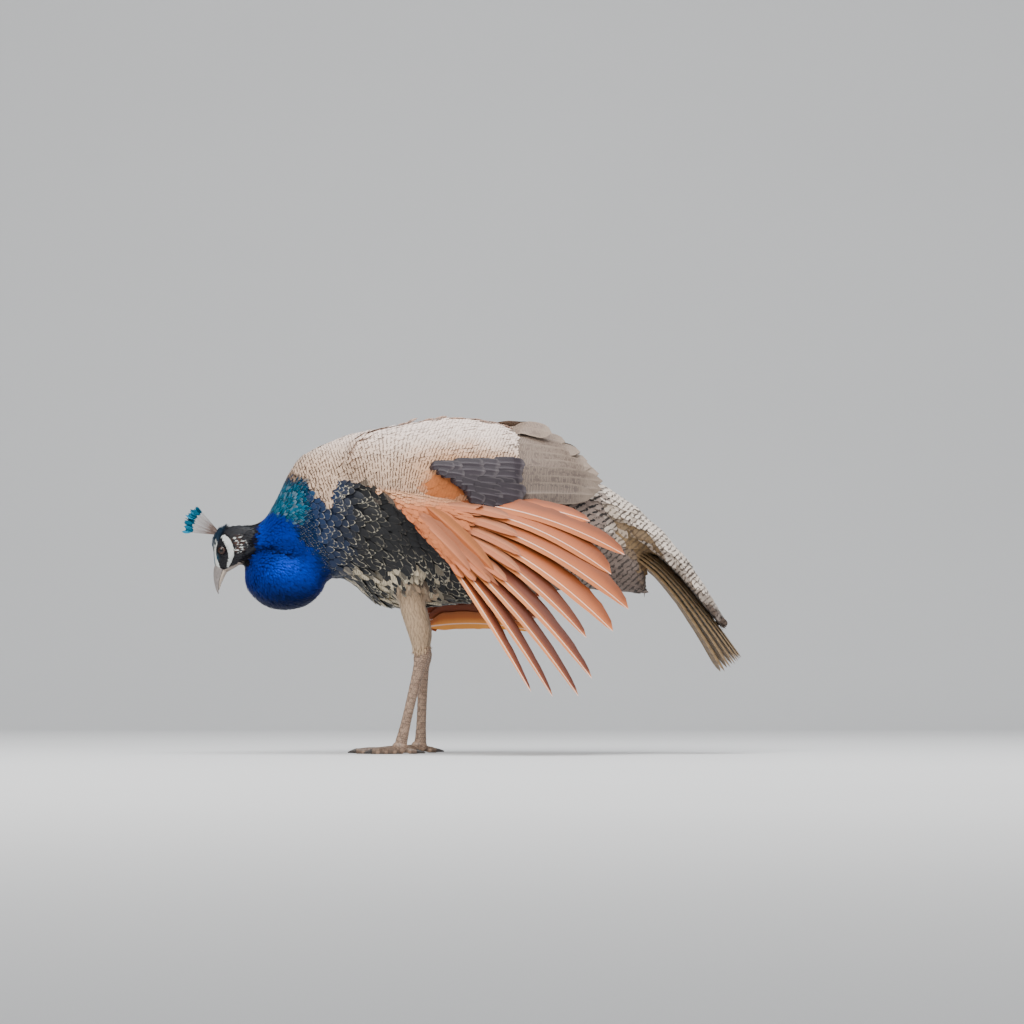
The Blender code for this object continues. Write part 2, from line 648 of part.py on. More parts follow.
# ---- Legs ---------------------------------------------------------------------------------------------------
def claw(name, root, forward, radius):
    """A curved claw that comes down to the floor."""
    path, radii = [], []
    for k in range(4):
        t = k / 3
        drop = (root.z - 0.0012) * t**1.6
        path.append(root + forward * CLAW_LENGTH * t - Vector((0, 0, drop)))
        radii.append(radius * (1 - t) ** 0.8 + 0.0006)
    return limb(name, path, radii, "claw", 6, 0.8, floor=0.0)


def leg(label, side, back, body):
    """One leg: feathered thigh, scaled shank, foot with four toes, and the claws."""
    hock = HOCK + Vector((0.0, side * (LEG_SPREAD + 0.001), 0))
    ankle = ANKLE + Vector((back, side * LEG_SPREAD, 0))
    thigh_path = [(-0.030, side * 0.046, 0.262), (-0.026, side * 0.050, 0.222), (-0.020, side * 0.052, 0.192),
                  (-0.013, hock.y, 0.166), (-0.011, hock.y, 0.136)]
    thigh = limb(f"thigh_{label}", thigh_path, [0.034, 0.027, 0.0205, 0.0190, 0.0125], "buff", 14)
    way = (ankle - hock).normalized()
    shank_path = [hock + way * d for d in (-0.010, 0.0, 0.010, 0.024, 0.060, 0.100)] + [ankle - way * 0.002]
    radii = [0.0070, 0.0112, 0.0106, 0.0080, 0.0070, 0.0070, 0.0088]
    shank = limb(f"shank_{label}", shank_path, radii, "leg", 12, 0.86)
    cut_clear(thigh, shank)
    cut_clear(thigh, body)
    claws = []
    foot = ball(f"foot_{label}", (ankle.x - 0.002, ankle.y, 0.009), (0.0115, 0.0095, 0.0085), "leg", 12, 6)
    for toe, (length, turn, radius) in TOES.items():
        turn = math.radians(turn)
        forward = Vector((-math.cos(turn), side * math.sin(turn), 0))
        start = Vector((ankle.x, ankle.y, radius * 0.80 + (0.003 if toe == "hind" else 0.0)))
        path, sizes = [], []
        for k in range(5):
            t = k / 4
            radius_here = radius * (1 - 0.32 * t) * (1.06 if k % 2 else 0.94)
            path.append(start + forward * length * t - Vector((0, 0, (start.z - radius * 0.52) * t)))
            sizes.append(radius_here)
        joined(foot, limb("toe", path, sizes, "leg", 6))
        claws.append(claw(f"claw_{label}_{toe}", path[-1] - forward * 0.001, forward, sizes[-1] * 0.78))
    keep_side(foot, Vector((0, 0, 0)), Vector((0, 0, 1)))
    cut_clear(foot, shank)
    for nail in claws:
        cut_clear(nail, foot)
    return thigh, shank, foot


def settle(things):
    """Moves everything so that the floor is at Z = 0 and the origin is under the middle of the box."""
    corners = np.array([v.co for thing in things for v in thing.data.vertices])
    low, high = corners.min(0), corners.max(0)
    shift = Vector((-(low[0] + high[0]) / 2, -(low[1] + high[1]) / 2, -low[2]))
    for thing in things:
        thing.location = shift
    print("moved by", tuple(round(c, 5) for c in shift), "box", np.round(high - low, 4))


def main():
    for thing in list(bpy.data.objects):
        bpy.data.objects.remove(thing)
    body = whole_body()
    tree = BVHTree.FromObject(body, bpy.context.evaluated_depsgraph_get())
    stretches = flesh(body)
    make_crest(make_head(stretches["neck_lower"]))
    fan, train = make_tail()
    cut_clear(*left_wing(tree), *right_wing(tree), fan, train, body)
    leg("left", LEFT, 0.0, body)
    leg("right", RIGHT, REAR_ANKLE_BACK, body)
    remove(body)
    settle([thing for thing in bpy.data.objects if thing.type == "MESH"])


main()
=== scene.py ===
# %% [markdown]
# # A young peacock, life size
#
# The bird is dressed the way a taxidermist dresses one. A smooth skin goes on first, then the bill,
# the eyes and the scaled legs, then the small feathers from the tail forward, and last the big
# quills of the wings and tail and the crest. The solids of the model are the frame: they say where
# everything is, and nothing here is moved away from them.

# %% Load the frame and find the bird's own origin in it
import json
import math

import bmesh
import bpy
import numpy as np
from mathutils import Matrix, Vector
from mathutils.bvhtree import BVHTree
from mathutils.kdtree import KDTree

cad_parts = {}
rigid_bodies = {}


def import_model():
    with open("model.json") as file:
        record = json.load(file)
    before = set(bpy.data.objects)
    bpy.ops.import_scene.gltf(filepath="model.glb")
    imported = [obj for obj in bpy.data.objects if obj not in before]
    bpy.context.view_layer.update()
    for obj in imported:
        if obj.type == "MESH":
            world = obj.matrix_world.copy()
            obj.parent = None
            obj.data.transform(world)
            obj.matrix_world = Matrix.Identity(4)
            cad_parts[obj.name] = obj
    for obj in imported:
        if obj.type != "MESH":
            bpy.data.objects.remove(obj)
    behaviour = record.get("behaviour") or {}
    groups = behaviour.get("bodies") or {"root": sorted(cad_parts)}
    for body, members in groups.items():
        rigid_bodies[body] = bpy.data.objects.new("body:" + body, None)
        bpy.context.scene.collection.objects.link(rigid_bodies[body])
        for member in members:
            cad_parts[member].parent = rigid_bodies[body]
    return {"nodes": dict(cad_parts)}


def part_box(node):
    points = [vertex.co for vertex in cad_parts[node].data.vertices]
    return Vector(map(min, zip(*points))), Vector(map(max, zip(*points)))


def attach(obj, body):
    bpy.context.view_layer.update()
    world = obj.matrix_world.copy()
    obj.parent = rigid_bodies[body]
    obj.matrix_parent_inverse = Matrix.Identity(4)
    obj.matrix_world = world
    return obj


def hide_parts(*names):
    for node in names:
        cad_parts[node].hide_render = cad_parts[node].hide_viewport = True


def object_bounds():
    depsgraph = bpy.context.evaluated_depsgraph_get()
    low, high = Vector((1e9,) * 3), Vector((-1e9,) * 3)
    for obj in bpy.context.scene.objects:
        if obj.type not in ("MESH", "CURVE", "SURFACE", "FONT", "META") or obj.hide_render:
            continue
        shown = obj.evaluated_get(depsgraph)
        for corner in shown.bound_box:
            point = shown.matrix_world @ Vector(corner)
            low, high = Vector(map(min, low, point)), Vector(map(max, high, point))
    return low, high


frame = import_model()
cad_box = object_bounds()

HEAD_PITCH = math.radians(63)
EYE = np.array([-0.288, 0.0, 0.281])        # the point between the eyes, in the bird's own metres
EYE_RADIUS = 0.0068
EYE_SPREAD = 0.0128
FORWARD = np.array([-math.cos(HEAD_PITCH), 0.0, -math.sin(HEAD_PITCH)])
UPWARD = np.array([-math.sin(HEAD_PITCH), 0.0, math.cos(HEAD_PITCH)])
ACROSS = np.array([0.0, 1.0, 0.0])
LEFT, RIGHT = -1, 1
SIDES = {"left": LEFT, "right": RIGHT}

eye_low, eye_high = (np.array(corner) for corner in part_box("eye_left"))
SHIFT = (eye_low + eye_high) / 2 - (EYE + [0.0, LEFT * EYE_SPREAD, 0.0])
print("the bird's origin lies at", np.round(SHIFT, 4), "and its box is", np.round(cad_box, 3).tolist())

# %% [markdown]
# ## Camera, light and floor
#
# The viewer stands 6 m away, a little above the floor, and looks level at the bird's left side. A
# long lens keeps the proportions true. Three big soft lamps stand in for an overcast sky.

# %% Camera, lamps and the pale floor
VIEWER = (0.114, -6.0, 0.10)
LOOK_AT = np.array([0.114, 0.0, 0.335])
SENSOR_WIDTH = 36.0
FOCAL_SHARE = 4320 / 1024                   # the lens as a share of the sensor's width
SWEEP_RADIUS = 1.5


def aimed(name, data, at):
    """A new camera or lamp at a point, turned towards the look-at point."""
    made = bpy.data.objects.new(name, data)
    made.location = np.array(at) + SHIFT
    made.rotation_euler = Vector(LOOK_AT - np.array(at)).to_track_quat("-Z", "Y").to_euler()
    bpy.context.scene.collection.objects.link(made)
    return made


def add_camera():
    """The viewer's eye, with a lens of focal share x sensor width."""
    camera = aimed("camera", bpy.data.cameras.new("camera"), VIEWER)
    camera.data.sensor_width = SENSOR_WIDTH
    camera.data.lens = SENSOR_WIDTH * FOCAL_SHARE
    camera.data.clip_end = 60
    bpy.context.scene.camera = camera


def add_lamp(name, at, power, size, colour=(1.0, 1.0, 1.0)):
    """A square area lamp at a point."""
    lamp = aimed(name, bpy.data.lights.new(name, "AREA"), at)
    lamp.data.energy, lamp.data.size, lamp.data.color = power, size, colour


def shader_node(tree, kind, *sources, **settings):
    """Adds a node. Each source is a value for that input in turn, a socket to link, or None to leave it."""
    made = tree.nodes.new(kind)
    for key, value in settings.items():
        setattr(made, key, value)
    for place, source in enumerate(sources):
        if isinstance(source, bpy.types.NodeSocket):
            tree.links.new(source, made.inputs[place])
        elif source is not None:
            made.inputs[place].default_value = source
    return made


def new_paint(name, **values):
    """A material, its node tree and its surface, with values for the inputs named, which have _ for a space."""
    paint = bpy.data.materials.new(name)
    paint.use_nodes = True
    surface = paint.node_tree.nodes["Principled BSDF"]
    for label, value in values.items():
        surface.inputs[label.replace("_", " ")].default_value = value
    return paint, paint.node_tree, surface


def linear(red, green, blue):
    """A paint colour given as three shares of 255, as the linear values that a shader takes."""
    share = np.array([red, green, blue]) / 255
    return np.where(share <= 0.04045, share / 12.92, ((share + 0.055) / 1.055) ** 2.4)


def floor_paint():
    """Pale paper with a faint grain."""
    paint, tree, surface = new_paint("floor_paper", Roughness=0.9)
    grain = shader_node(tree, "ShaderNodeTexNoise", None, None, 9.0, 4.0)
    tone = shader_node(tree, "ShaderNodeMapRange", grain.outputs["Fac"], 0.3, 0.7, 0.60, 0.63)
    grey = shader_node(tree, "ShaderNodeCombineColor", *[tone.outputs[0]] * 3)
    tree.links.new(grey.outputs[0], surface.inputs["Base Color"])
    return paint


def add_floor():
    """A pale sweep: a flat floor, then a quarter circle up into a wall, behind the bird."""
    turn = np.linspace(0, math.pi / 2, 24)
    away = np.concatenate([[-9.0], 3.0 + SWEEP_RADIUS * np.sin(turn), [3.0 + SWEEP_RADIUS]])
    high = np.concatenate([[0.0], SWEEP_RADIUS * (1 - np.cos(turn)), [9.0]])
    wide = np.array([-9.0, 9.0])
    points = np.stack(np.broadcast_arrays(wide, away[:, None], high[:, None]), -1)
    mesh = bpy.data.meshes.new("floor")
    rows = np.arange(len(away) - 1)[:, None] * 2
    mesh.from_pydata(points.reshape(-1, 3), [], (rows + np.array([0, 1, 3, 2])).tolist())
    mesh.shade_smooth()
    floor = bpy.data.objects.new("floor", mesh)
    bpy.context.scene.collection.objects.link(floor)
    mesh.materials.append(floor_paint())


def add_sky():
    """An even, slightly blue light from everywhere."""
    world = bpy.data.worlds.new("studio")
    world.use_nodes = True
    colour, strength = world.node_tree.nodes["Background"].inputs[:2]
    colour.default_value, strength.default_value = (0.80, 0.83, 0.87, 1), 0.60
    bpy.context.scene.world = world


add_camera()
add_lamp("key_lamp", (-1.2, -2.8, 3.2), 172, 2.4, (1.0, 0.985, 0.96))
add_lamp("sky_lamp", (0.3, -0.4, 3.4), 158, 2.6, (0.97, 0.985, 1.0))
add_lamp("fill_lamp", (2.6, -2.8, 1.2), 34, 2.2)
add_floor()
add_sky()
print("stage: a camera, three lamps, a floor and a sky")

# %% [markdown]
# ## Small tools for arrays
#
# All shapes below are worked out as whole arrays. These helpers measure, blend and put the arrays
# into meshes.

# %% Array helpers


def unit(vectors):
    """Each vector divided by its own length."""
    return vectors / np.maximum(np.linalg.norm(vectors, axis=-1, keepdims=True), 1e-9)


def ease(low, high, value):
    """0 below low, 1 above high, and 3t^2 - 2t^3 between."""
    t = np.clip((value - low) / (high - low), 0, 1)
    return t * t * (3 - 2 * t)


def blend(first, second, share):
    """first x (1 - share) + second x share, with the share given once for each row."""
    share = np.asarray(share, float)[..., None]
    return np.asarray(first) * (1 - share) + np.asarray(second) * share


def near(points, centre, radius, soft=0.35):
    """1 inside a ball (or an ellipsoid, where the radius has three values), fading to 0 at its edge."""
    away = np.linalg.norm((points - centre) / np.asarray(radius, float), axis=-1)
    return 1 - ease(1 - soft, 1, away)


def folded(points):
    """The same places with both sides of the bird laid on one: the distance from the midplane for y."""
    return np.stack([points[..., 0], np.abs(points[..., 1]), points[..., 2]], -1)


def smooth_rows(rows, count):
    """A table's rows resampled to more rows on a smooth curve through them (Catmull-Rom)."""
    rows = np.asarray(rows, float)
    padded = np.concatenate([[2 * rows[0] - rows[1]], rows, [2 * rows[-1] - rows[-2]]])
    place = np.linspace(0, len(rows) - 1, count)
    first = np.minimum(place.astype(int), len(rows) - 2)
    t = (place - first)[:, None]
    a, b, c, d = (padded[first + k] for k in range(4))
    bend, twist = 2 * a - 5 * b + 4 * c - d, 3 * b - a - 3 * c + d
    return 0.5 * (2 * b + (c - a) * t + bend * t ** 2 + twist * t ** 3)


def ripple(points, pitch, turn=0.0):
    """A slow, smooth wobble between -1 and 1, made of three crossed waves of about one pitch."""
    x, y, z = (points / pitch * 2 * math.pi).T
    return (np.sin(x + 1.7 * np.sin(0.8 * z + turn)) + np.sin(0.9 * z + 1.3 * np.sin(0.7 * y + 2 * turn))
            + np.sin(1.1 * y + 1.9 * np.sin(0.6 * x - turn))) / 3


def on_head(forward, upward, aside=0.0):
    """A point given in the head's own frame: along the bill, towards the crown, and sideways."""
    forward, upward, aside = np.broadcast_arrays(forward, upward, aside)
    return EYE + forward[..., None] * FORWARD + upward[..., None] * UPWARD + aside[..., None] * ACROSS


def head_place(points):
    """The reverse of on_head: along the bill, towards the crown, and the distance from the midplane."""
    away = points - EYE
    return away @ FORWARD, away @ UPWARD, np.abs(points[..., 1])


def make_piece(name, points, faces, material, stands_for=(), layers=None, bake=None, rim=None):
    """A mesh object from arrays of points and triangles, riding on the root body. Where rim is given, an
    edge between two points of the rim is a crisp one."""
    mesh = bpy.data.meshes.new(name)
    mesh.vertices.add(len(points))
    mesh.vertices.foreach_set("co", (points + SHIFT).astype(np.float32).ravel())
    mesh.loops.add(faces.size)
    mesh.loops.foreach_set("vertex_index", faces.astype(np.int32).ravel())
    mesh.polygons.add(len(faces))
    mesh.polygons.foreach_set("loop_start", np.arange(0, faces.size, faces.shape[1], dtype=np.int32))
    mesh.update(calc_edges=True)
    mesh.shade_smooth()
    if rim is not None:
        ends = np.empty(len(mesh.edges) * 2, np.int32)
        mesh.edges.foreach_get("vertices", ends)
        crisp = mesh.attributes.get("sharp_edge") or mesh.attributes.new("sharp_edge", "BOOLEAN", "EDGE")
        crisp.data.foreach_set("value", rim[ends.reshape(-1, 2)].all(1))
    store_layers(mesh, layers or {})
    if bake is not None:
        unwrapped = mesh.uv_layers.new(name="OFBake")
        unwrapped.data.foreach_set("uv", bake[faces.ravel()].astype(np.float32).ravel())
    mesh.materials.append(material)
    piece = bpy.data.objects.new(name, mesh)
    bpy.context.scene.collection.objects.link(piece)
    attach(piece, "root")
    if stands_for:
        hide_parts(*stands_for)
    print(f"{name}: {len(faces)} faces")
    return piece


def store_layers(mesh, layers):
    """Stores each named array on the mesh's points, as colours where it has four columns."""
    for layer, values in layers.items():
        colour = values.shape[1] == 4
        made = mesh.attributes.new(layer, "FLOAT_COLOR" if colour else "FLOAT_VECTOR", "POINT")
        made.data.foreach_set("color" if colour else "vector", values.astype(np.float32).ravel())


def with_alpha(colours):
    """Colours of three values with a fourth of one."""
    return np.concatenate([colours, np.ones(colours.shape[:-1] + (1,))], -1)

# %% [markdown]
# ## The paints
#
# A young cock's colours: buff and brown bars on the back, grey-brown on the long wing feathers,
# cinnamon on the primaries, royal blue on the neck, teal on the nape, black and cream below.

# %% Named colours
WHITE_SKIN = linear(214, 216, 210)
DARK_FACE = linear(18, 16, 20)
CROWN_BLUE = linear(12, 44, 66)
PALE_JAW = linear(170, 156, 144)
EAR_BROWN = linear(66, 40, 28)
ROYAL_BLUE = linear(0, 48, 164)
DEEP_BLUE = linear(4, 18, 58)
TEAL = linear(14, 116, 148)
NAPE_GREY = linear(146, 172, 188)
BREAST_BLUE = linear(10, 40, 78)
FLANK_BLACK = linear(16, 16, 19)
SCALLOP = linear(182, 174, 154)
BELLY_CREAM = linear(190, 176, 150)
BUFF = linear(196, 166, 142)
PALE_BUFF = linear(232, 212, 200)
BAR_BROWN = linear(70, 50, 36)
WARM_BUFF = linear(204, 146, 98)
ORANGE = linear(176, 102, 54)
GREY_BROWN = linear(140, 122, 106)
GREY_LINE = linear(156, 138, 120)
DARK_COVERT = linear(50, 42, 48)
VENT_GREY = linear(112, 98, 90)
RUMP_PALE = linear(202, 188, 174)
RUMP_DARK = linear(70, 60, 54)
TAIL_BROWN = linear(132, 108, 78)
THIGH_BUFF = linear(176, 150, 122)
CINNAMON = linear(178, 96, 52)
CINNAMON_DEEP = linear(118, 52, 24)
CINNAMON_PINK = linear(182, 108, 66)
SHAFT_PINK = linear(232, 196, 178)
print("the neck's blue, linear:", np.round(ROYAL_BLUE, 3))

# %% [markdown]
# ## The skin
#
# On the real bird one skin covers everything, and the feathers grow out of it. It is made from the
# solids of flesh: copies of them are swollen by a hair so that the saw cuts close, remeshed into
# one closed surface, smoothed, and moved inwards by the depth of the plumage at each place. The
# head is done twice as fine, because its bare white patches and eyelids show.

# %% One closed surface from the solids of flesh
FLESH = ["head", "neck_upper", "neck_lower", "breast", "trunk", "rump", "tail_coverts",
         "thigh_left", "thigh_right", "wing_left_shoulder", "wing_right_shoulder"]


def evaluated(piece):
    """The mesh that a piece's modifiers make, as a new mesh."""
    graph = bpy.context.evaluated_depsgraph_get()
    return bpy.data.meshes.new_from_object(piece.evaluated_get(graph))


def fused(nodes, grow, voxel, smooth):
    """Copies of the named solids, each grown along its normals, remeshed into one and smoothed."""
    stock = bmesh.new()
    for node in nodes:
        copy = bmesh.new()
        copy.from_mesh(frame["nodes"][node].data)
        bmesh.ops.remove_doubles(copy, verts=copy.verts, dist=1e-5)
        copy.normal_update()
        for vertex in copy.verts:
            vertex.co += vertex.normal * grow
        grown = bpy.data.meshes.new("grown")
        copy.to_mesh(grown)
        stock.from_mesh(grown)
        copy.free()
    mesh = bpy.data.meshes.new("fused")
    stock.to_mesh(mesh)
    stock.free()
    piece = bpy.data.objects.new("fused", mesh)
    bpy.context.scene.collection.objects.link(piece)
    remesh = piece.modifiers.new("remesh", "REMESH")
    remesh.mode, remesh.voxel_size = "VOXEL", voxel
    soften = piece.modifiers.new("soften", "SMOOTH")
    soften.factor, soften.iterations = 0.5, smooth
    made = evaluated(piece)
    bpy.data.objects.remove(piece)
    return made


def mesh_arrays(mesh):
    """Points in the bird's metres, point normals, and triangles, as arrays."""
    points = np.empty(len(mesh.vertices) * 3, np.float32)
    mesh.vertices.foreach_get("co", points)
    normals = np.empty(len(mesh.vertices) * 3, np.float32)
    mesh.vertex_normals.foreach_get("vector", normals)
    mesh.calc_loop_triangles()
    triangles = np.empty(len(mesh.loop_triangles) * 3, np.int32)
    mesh.loop_triangles.foreach_get("vertices", triangles)
    points, normals = (values.reshape(-1, 3).astype(float) for values in (points, normals))
    return points - SHIFT, normals, triangles.reshape(-1, 3)


# the fold's line in side view
CREASE = np.array([(-0.262, 0.276), (-0.2407, 0.280), (-0.225, 0.285), (-0.2139, 0.2814), (-0.198, 0.2743),
                   (-0.184, 0.2736)])


def crease_share(points, reach):
    """1 in the fold between the neck's upper lobe and the crop, fading to 0 at its reach."""
    x, _, z = points.T
    ends = ease(-0.262, -0.245, x), ease(-0.165, -0.20, x)
    return np.exp(-((z - np.interp(x, *CREASE.T)) / reach) ** 2) * ends[0] * ends[1]


def coat_depth(points):
    """How far the skin lies inside the solids: 1 mm on the face, 6.5 mm on the back, less on the tail."""
    x, _, z = points.T
    forward, _, _ = head_place(points)
    depth = np.full(len(points), 0.0065)
    neck = 1 - ease(-0.20, -0.14, x)
    depth = depth * (1 - neck) + (0.0025 + 0.0015 * ease(-0.24, -0.20, x)) * neck
    face = ease(-0.050, -0.020, forward) * (1 - ease(0.06, 0.075, np.linalg.norm(points - EYE, axis=1)))
    depth = depth * (1 - face) + 0.0011 * face
    train = ease(0.28, 0.42, x)
    depth = depth * (1 - train) + 0.0015 * train
    leg = ease(0.210, 0.190, z) * ease(0.10, 0.06, np.abs(x + 0.02))
    return depth * (1 - leg) + 0.0030 * leg + 0.0050 * crease_share(points, 0.007)


body_points, body_normals, body_triangles = mesh_arrays(fused(FLESH, grow=0.0003, voxel=0.0034, smooth=32))
body_points = body_points - body_normals * coat_depth(body_points)[:, None]
head_points, head_normals, head_triangles = mesh_arrays(fused(["head"], grow=0.0003, voxel=0.0006, smooth=24))
print("skin:", len(body_points), "points on the body and", len(head_points), "on the head")

# %% [markdown]
# ## Lids, sockets and bare patches
#
# Round each eye the skin rises into a lid that grips the eyeball, and inside the lids it drops
# behind it. The face has two bare white patches on each side, one over the eye towards the bill and
# a crescent behind and below it. They are strokes drawn in the head's own frame, and both the
# paint and the feathers read them, so that no feather grows on a bare patch.

# %% The face
LID_OPENING = 0.0053
LID_EDGE = 0.0062
# each row: along the bill, towards the crown, half width
BROW_STROKE = [(-0.0075, 0.0120, 0.0008), (0.0040, 0.0088, 0.0013), (0.0144, 0.0040, 0.0024),
               (0.0225, -0.0050, 0.0024)]
CHEEK_STROKE = [(-0.0172, 0.0060, 0.0036), (-0.0140, -0.0012, 0.0048), (-0.0086, -0.0086, 0.0044),
                (-0.0008, -0.0140, 0.0037), (0.0080, -0.0160, 0.0027), (0.0160, -0.0166, 0.0014)]
WHITE_STROKES = [smooth_rows(rows, 14) for rows in (BROW_STROKE, CHEEK_STROKE)]


def stroke_distance(across, along, line, widths):
    """How far a flat point lies outside a brush stroke: its distance to the line less the width there."""
    best = np.full(np.shape(across), 1.0)
    for (start, end), (thin, thick) in zip(zip(line[:-1], line[1:]), zip(widths[:-1], widths[1:])):
        way = end - start
        share = np.clip(((across - start[0]) * way[0] + (along - start[1]) * way[1]) / (way @ way), 0, 1)
        away = np.hypot(across - start[0] - share * way[0], along - start[1] - share * way[1])
        best = np.minimum(best, away - (thin + (thick - thin) * share))
    return best


def bare_white(points):
    """1 on the bare white patches of the face, on both sides."""
    forward, upward, aside = head_place(points)
    outside = np.minimum(*(stroke_distance(forward, upward, rows[:, :2], rows[:, 2]) for rows in WHITE_STROKES))
    outside = outside + 0.0005 * ripple(points, 0.0045, 5.0)
    return (1 - ease(-0.0003, 0.0005, outside)) * ease(0.003, 0.006, aside)


def shape_face(points, normals):
    """Moves the head's skin inwards under the feathers, sinks the sockets and raises the lids."""
    forward, upward, aside = head_place(points)
    depth = 0.0011 + 0.0009 * ease(-0.020, -0.036, forward) + 0.0050 * ease(-0.038, -0.052, forward)
    points = points - normals * depth[:, None]
    forward, upward, aside = head_place(points)
    ring = np.hypot(forward / 1.06, upward)
    ball = np.sqrt(np.maximum(EYE_RADIUS ** 2 - np.minimum(ring, EYE_RADIUS - 0.0006) ** 2, 0))
    lid = EYE_SPREAD + ball + 0.0005 + 0.0004 * np.exp(-((ring - LID_EDGE) / 0.0006) ** 2)
    outward = aside > 0.006
    hold = (1 - ease(0.0068, 0.0100, ring)) * outward
    new_aside = aside * (1 - hold) + lid * hold
    pit = (1 - ease(LID_OPENING - 0.0004, LID_OPENING + 0.0003, ring)) * outward
    new_aside = new_aside * (1 - pit) + (EYE_SPREAD - 0.0005) * pit
    above_brow = upward - 0.0078 + 0.25 * (forward - 0.002)
    brow = 0.0011 * np.exp(-(above_brow / 0.0022) ** 2) * ease(0.024, 0.010, np.abs(forward))
    cheek = 0.0009 * near(np.stack([forward, upward], -1), (-0.004, -0.0170), (0.016, 0.009), 0.9)
    points = points.copy()
    points[:, 1] = np.sign(points[:, 1]) * (new_aside + (brow + cheek) * ease(0.006, 0.011, aside) * (1 - hold))
    return points


head_points = shape_face(head_points, head_normals)
BODY = body_points, body_normals, body_triangles
HEAD = head_points, head_normals, head_triangles
print("the face is", round(2000 * np.abs(head_points[:, 1]).max(), 1), "mm across")

# %% [markdown]
# ## The markings
#
# Skin and feathers take their colours from one function of place, so they always agree. At any
# point it gives the ground colour, the colour of the marks, and how strongly the marks show as
# bars across the feather, as a rim round its tip, or along its shaft.

# %% One function for all markings
CROP_AT = np.array([-0.1985, 0.0, 0.2460])
NAPE_FOLD_AT = np.array([-0.208, 0.0, 0.3010])
THIGH_AT = np.array([-0.020, 0.056, 0.182])
# lines in side view: the lower edge of the buff back, and the top of the tail coverts
HEM = np.array([(-0.30, 0.400), (-0.215, 0.372), (-0.197, 0.381), (-0.164, 0.375), (-0.149, 0.352),
                (-0.135, 0.344), (-0.127, 0.374), (-0.086, 0.374), (-0.060, 0.360), (-0.042, 0.346),
                (0.0, 0.340), (0.115, 0.335), (0.16, 0.330), (0.20, 0.345), (0.30, 0.30)])
TRAIN_TOP = np.array([(0.190, 0.407), (0.236, 0.381), (0.276, 0.355), (0.315, 0.321), (0.350, 0.281),
                      (0.381, 0.236), (0.402, 0.200), (0.417, 0.174)])


def hem_edge(points):
    """How far a place lies above the hem, which is 22 mm lower at the shoulder on the right side."""
    x, y, z = points.T
    return z - np.interp(x, *HEM.T) + 0.022 * (y > 0) * ease(-0.11, -0.08, x) * ease(0.02, 0.0, x)


def paint_over(state, share, tint=None, mark=None, bars=None, rim=None, shaft=None):
    """Lays new values over the old ones where share is 1, and blends between."""
    share = np.asarray(share, float)
    for key, value in dict(tint=tint, mark=mark).items():
        if value is not None:
            state[key] = blend(state[key], value, share)
    for key, value in dict(bars=bars, rim=rim, shaft=shaft).items():
        if value is not None:
            state[key] = state[key] * (1 - share) + value * share


def under_wing(points):
    """1 where the long wing feathers and the dark coverts lie over the body, so that nothing need grow."""
    x, y, z = points.T
    lowest = np.where(y < 0, 0.345, np.interp(x, [0.0, 0.12], [0.315, 0.275]))
    below_top = 0.398 - z
    return (below_top > 0) & (z > lowest) & (x > 0.012 + below_top) & (x < 0.185)


print("the hem runs from", HEM[0], "to", HEM[-1])

# %% [markdown]
# The coat is painted in five layers, from the back to the head. Each one lies over those before it.

# %% Back and underparts


def paint_back(state, points):
    """Mantle and shoulders: buff with fine brown bars, paler on top, which is partly painted light from above,
    warmer over the wing's bend, and painted shade on the skin under the wing.
    """
    x, _, z = points.T
    # Paler and less barred towards the top: partly the mantle's own colour, partly painted light falling from
    # above
    paint_over(state, ease(0.390, 0.455, z), tint=PALE_BUFF, bars=0.42)
    bend = near(folded(points), (0.045, 0.095, 0.385), (0.115, 0.08, 0.062), 0.8)
    paint_over(state, 0.75 * bend, tint=WARM_BUFF)
    patch = near(folded(points), (0.024, 0.105, 0.366), (0.042, 0.06, 0.030), 0.4)
    paint_over(state, patch, tint=ORANGE, bars=0.14)
    # The skin under the wing's long feathers is painted a darker grey-brown: painted shade under the wing
    paint_over(state, under_wing(points), tint=GREY_BROWN * 0.5, bars=0.0)
    paint_over(state, ease(0.120, 0.135, x), tint=GREY_BROWN, mark=GREY_LINE, bars=0.25)


def paint_underparts(state, points):
    """Breast dark blue with buff rims, flanks black with pale scallops, belly cream with black, vent grey."""
    x, _, z = points.T
    edge = hem_edge(points) + 0.004 * ripple(points, 0.022)
    under = 1 - ease(-0.003, 0.003, edge)
    flank = ease(-0.165, -0.085, x)
    # Under the wing the upper flank's pale rims are painted out: painted shade of the wing
    wing_shade = ease(-0.10, -0.05, x) * ease(0.255, 0.285, z)    # the upper flank hardly shows its rims
    rims = (0.55 + 0.35 * ease(-0.16, -0.10, x)) * (1 - 0.9 * wing_shade)
    paint_over(state, under, tint=blend(BREAST_BLUE, FLANK_BLACK, flank), mark=SCALLOP, bars=0.0, rim=rims,
               shaft=0.0)
    low = ease(0.256, 0.240, z + 0.012 * ripple(points, 0.045, 1.0))
    # The cream stops between x = 0 and 0.03, so the belly behind the thigh keeps the flank's black: painted
    # shade under the wing
    cream = under * low * ease(-0.135, -0.105, x) * ease(0.03, 0.0, x)
    cream = cream * ease(0.0, 0.2, ripple(points, 0.030, 2.0))
    paint_over(state, cream, tint=BELLY_CREAM, mark=FLANK_BLACK, bars=0.65, rim=0.9)
    thigh = near(folded(points), THIGH_AT, (0.046, 0.040, 0.054), 0.15)
    # The thigh's buff darkens to 0.55 towards its top: painted shade under the belly
    down = blend(THIGH_BUFF, THIGH_BUFF * 0.55, ease(0.195, 0.240, z))
    paint_over(state, thigh, tint=down, mark=BAR_BROWN, bars=0.05, rim=0.0)
    vent = under * ease(0.06, 0.15, x)
    paint_over(state, vent, tint=VENT_GREY, mark=FLANK_BLACK, bars=0.5, rim=0.35)


print("below the hem:", round(float((hem_edge(body_points) < 0).mean()), 2), "of the skin's points")

# %% Rump and neck


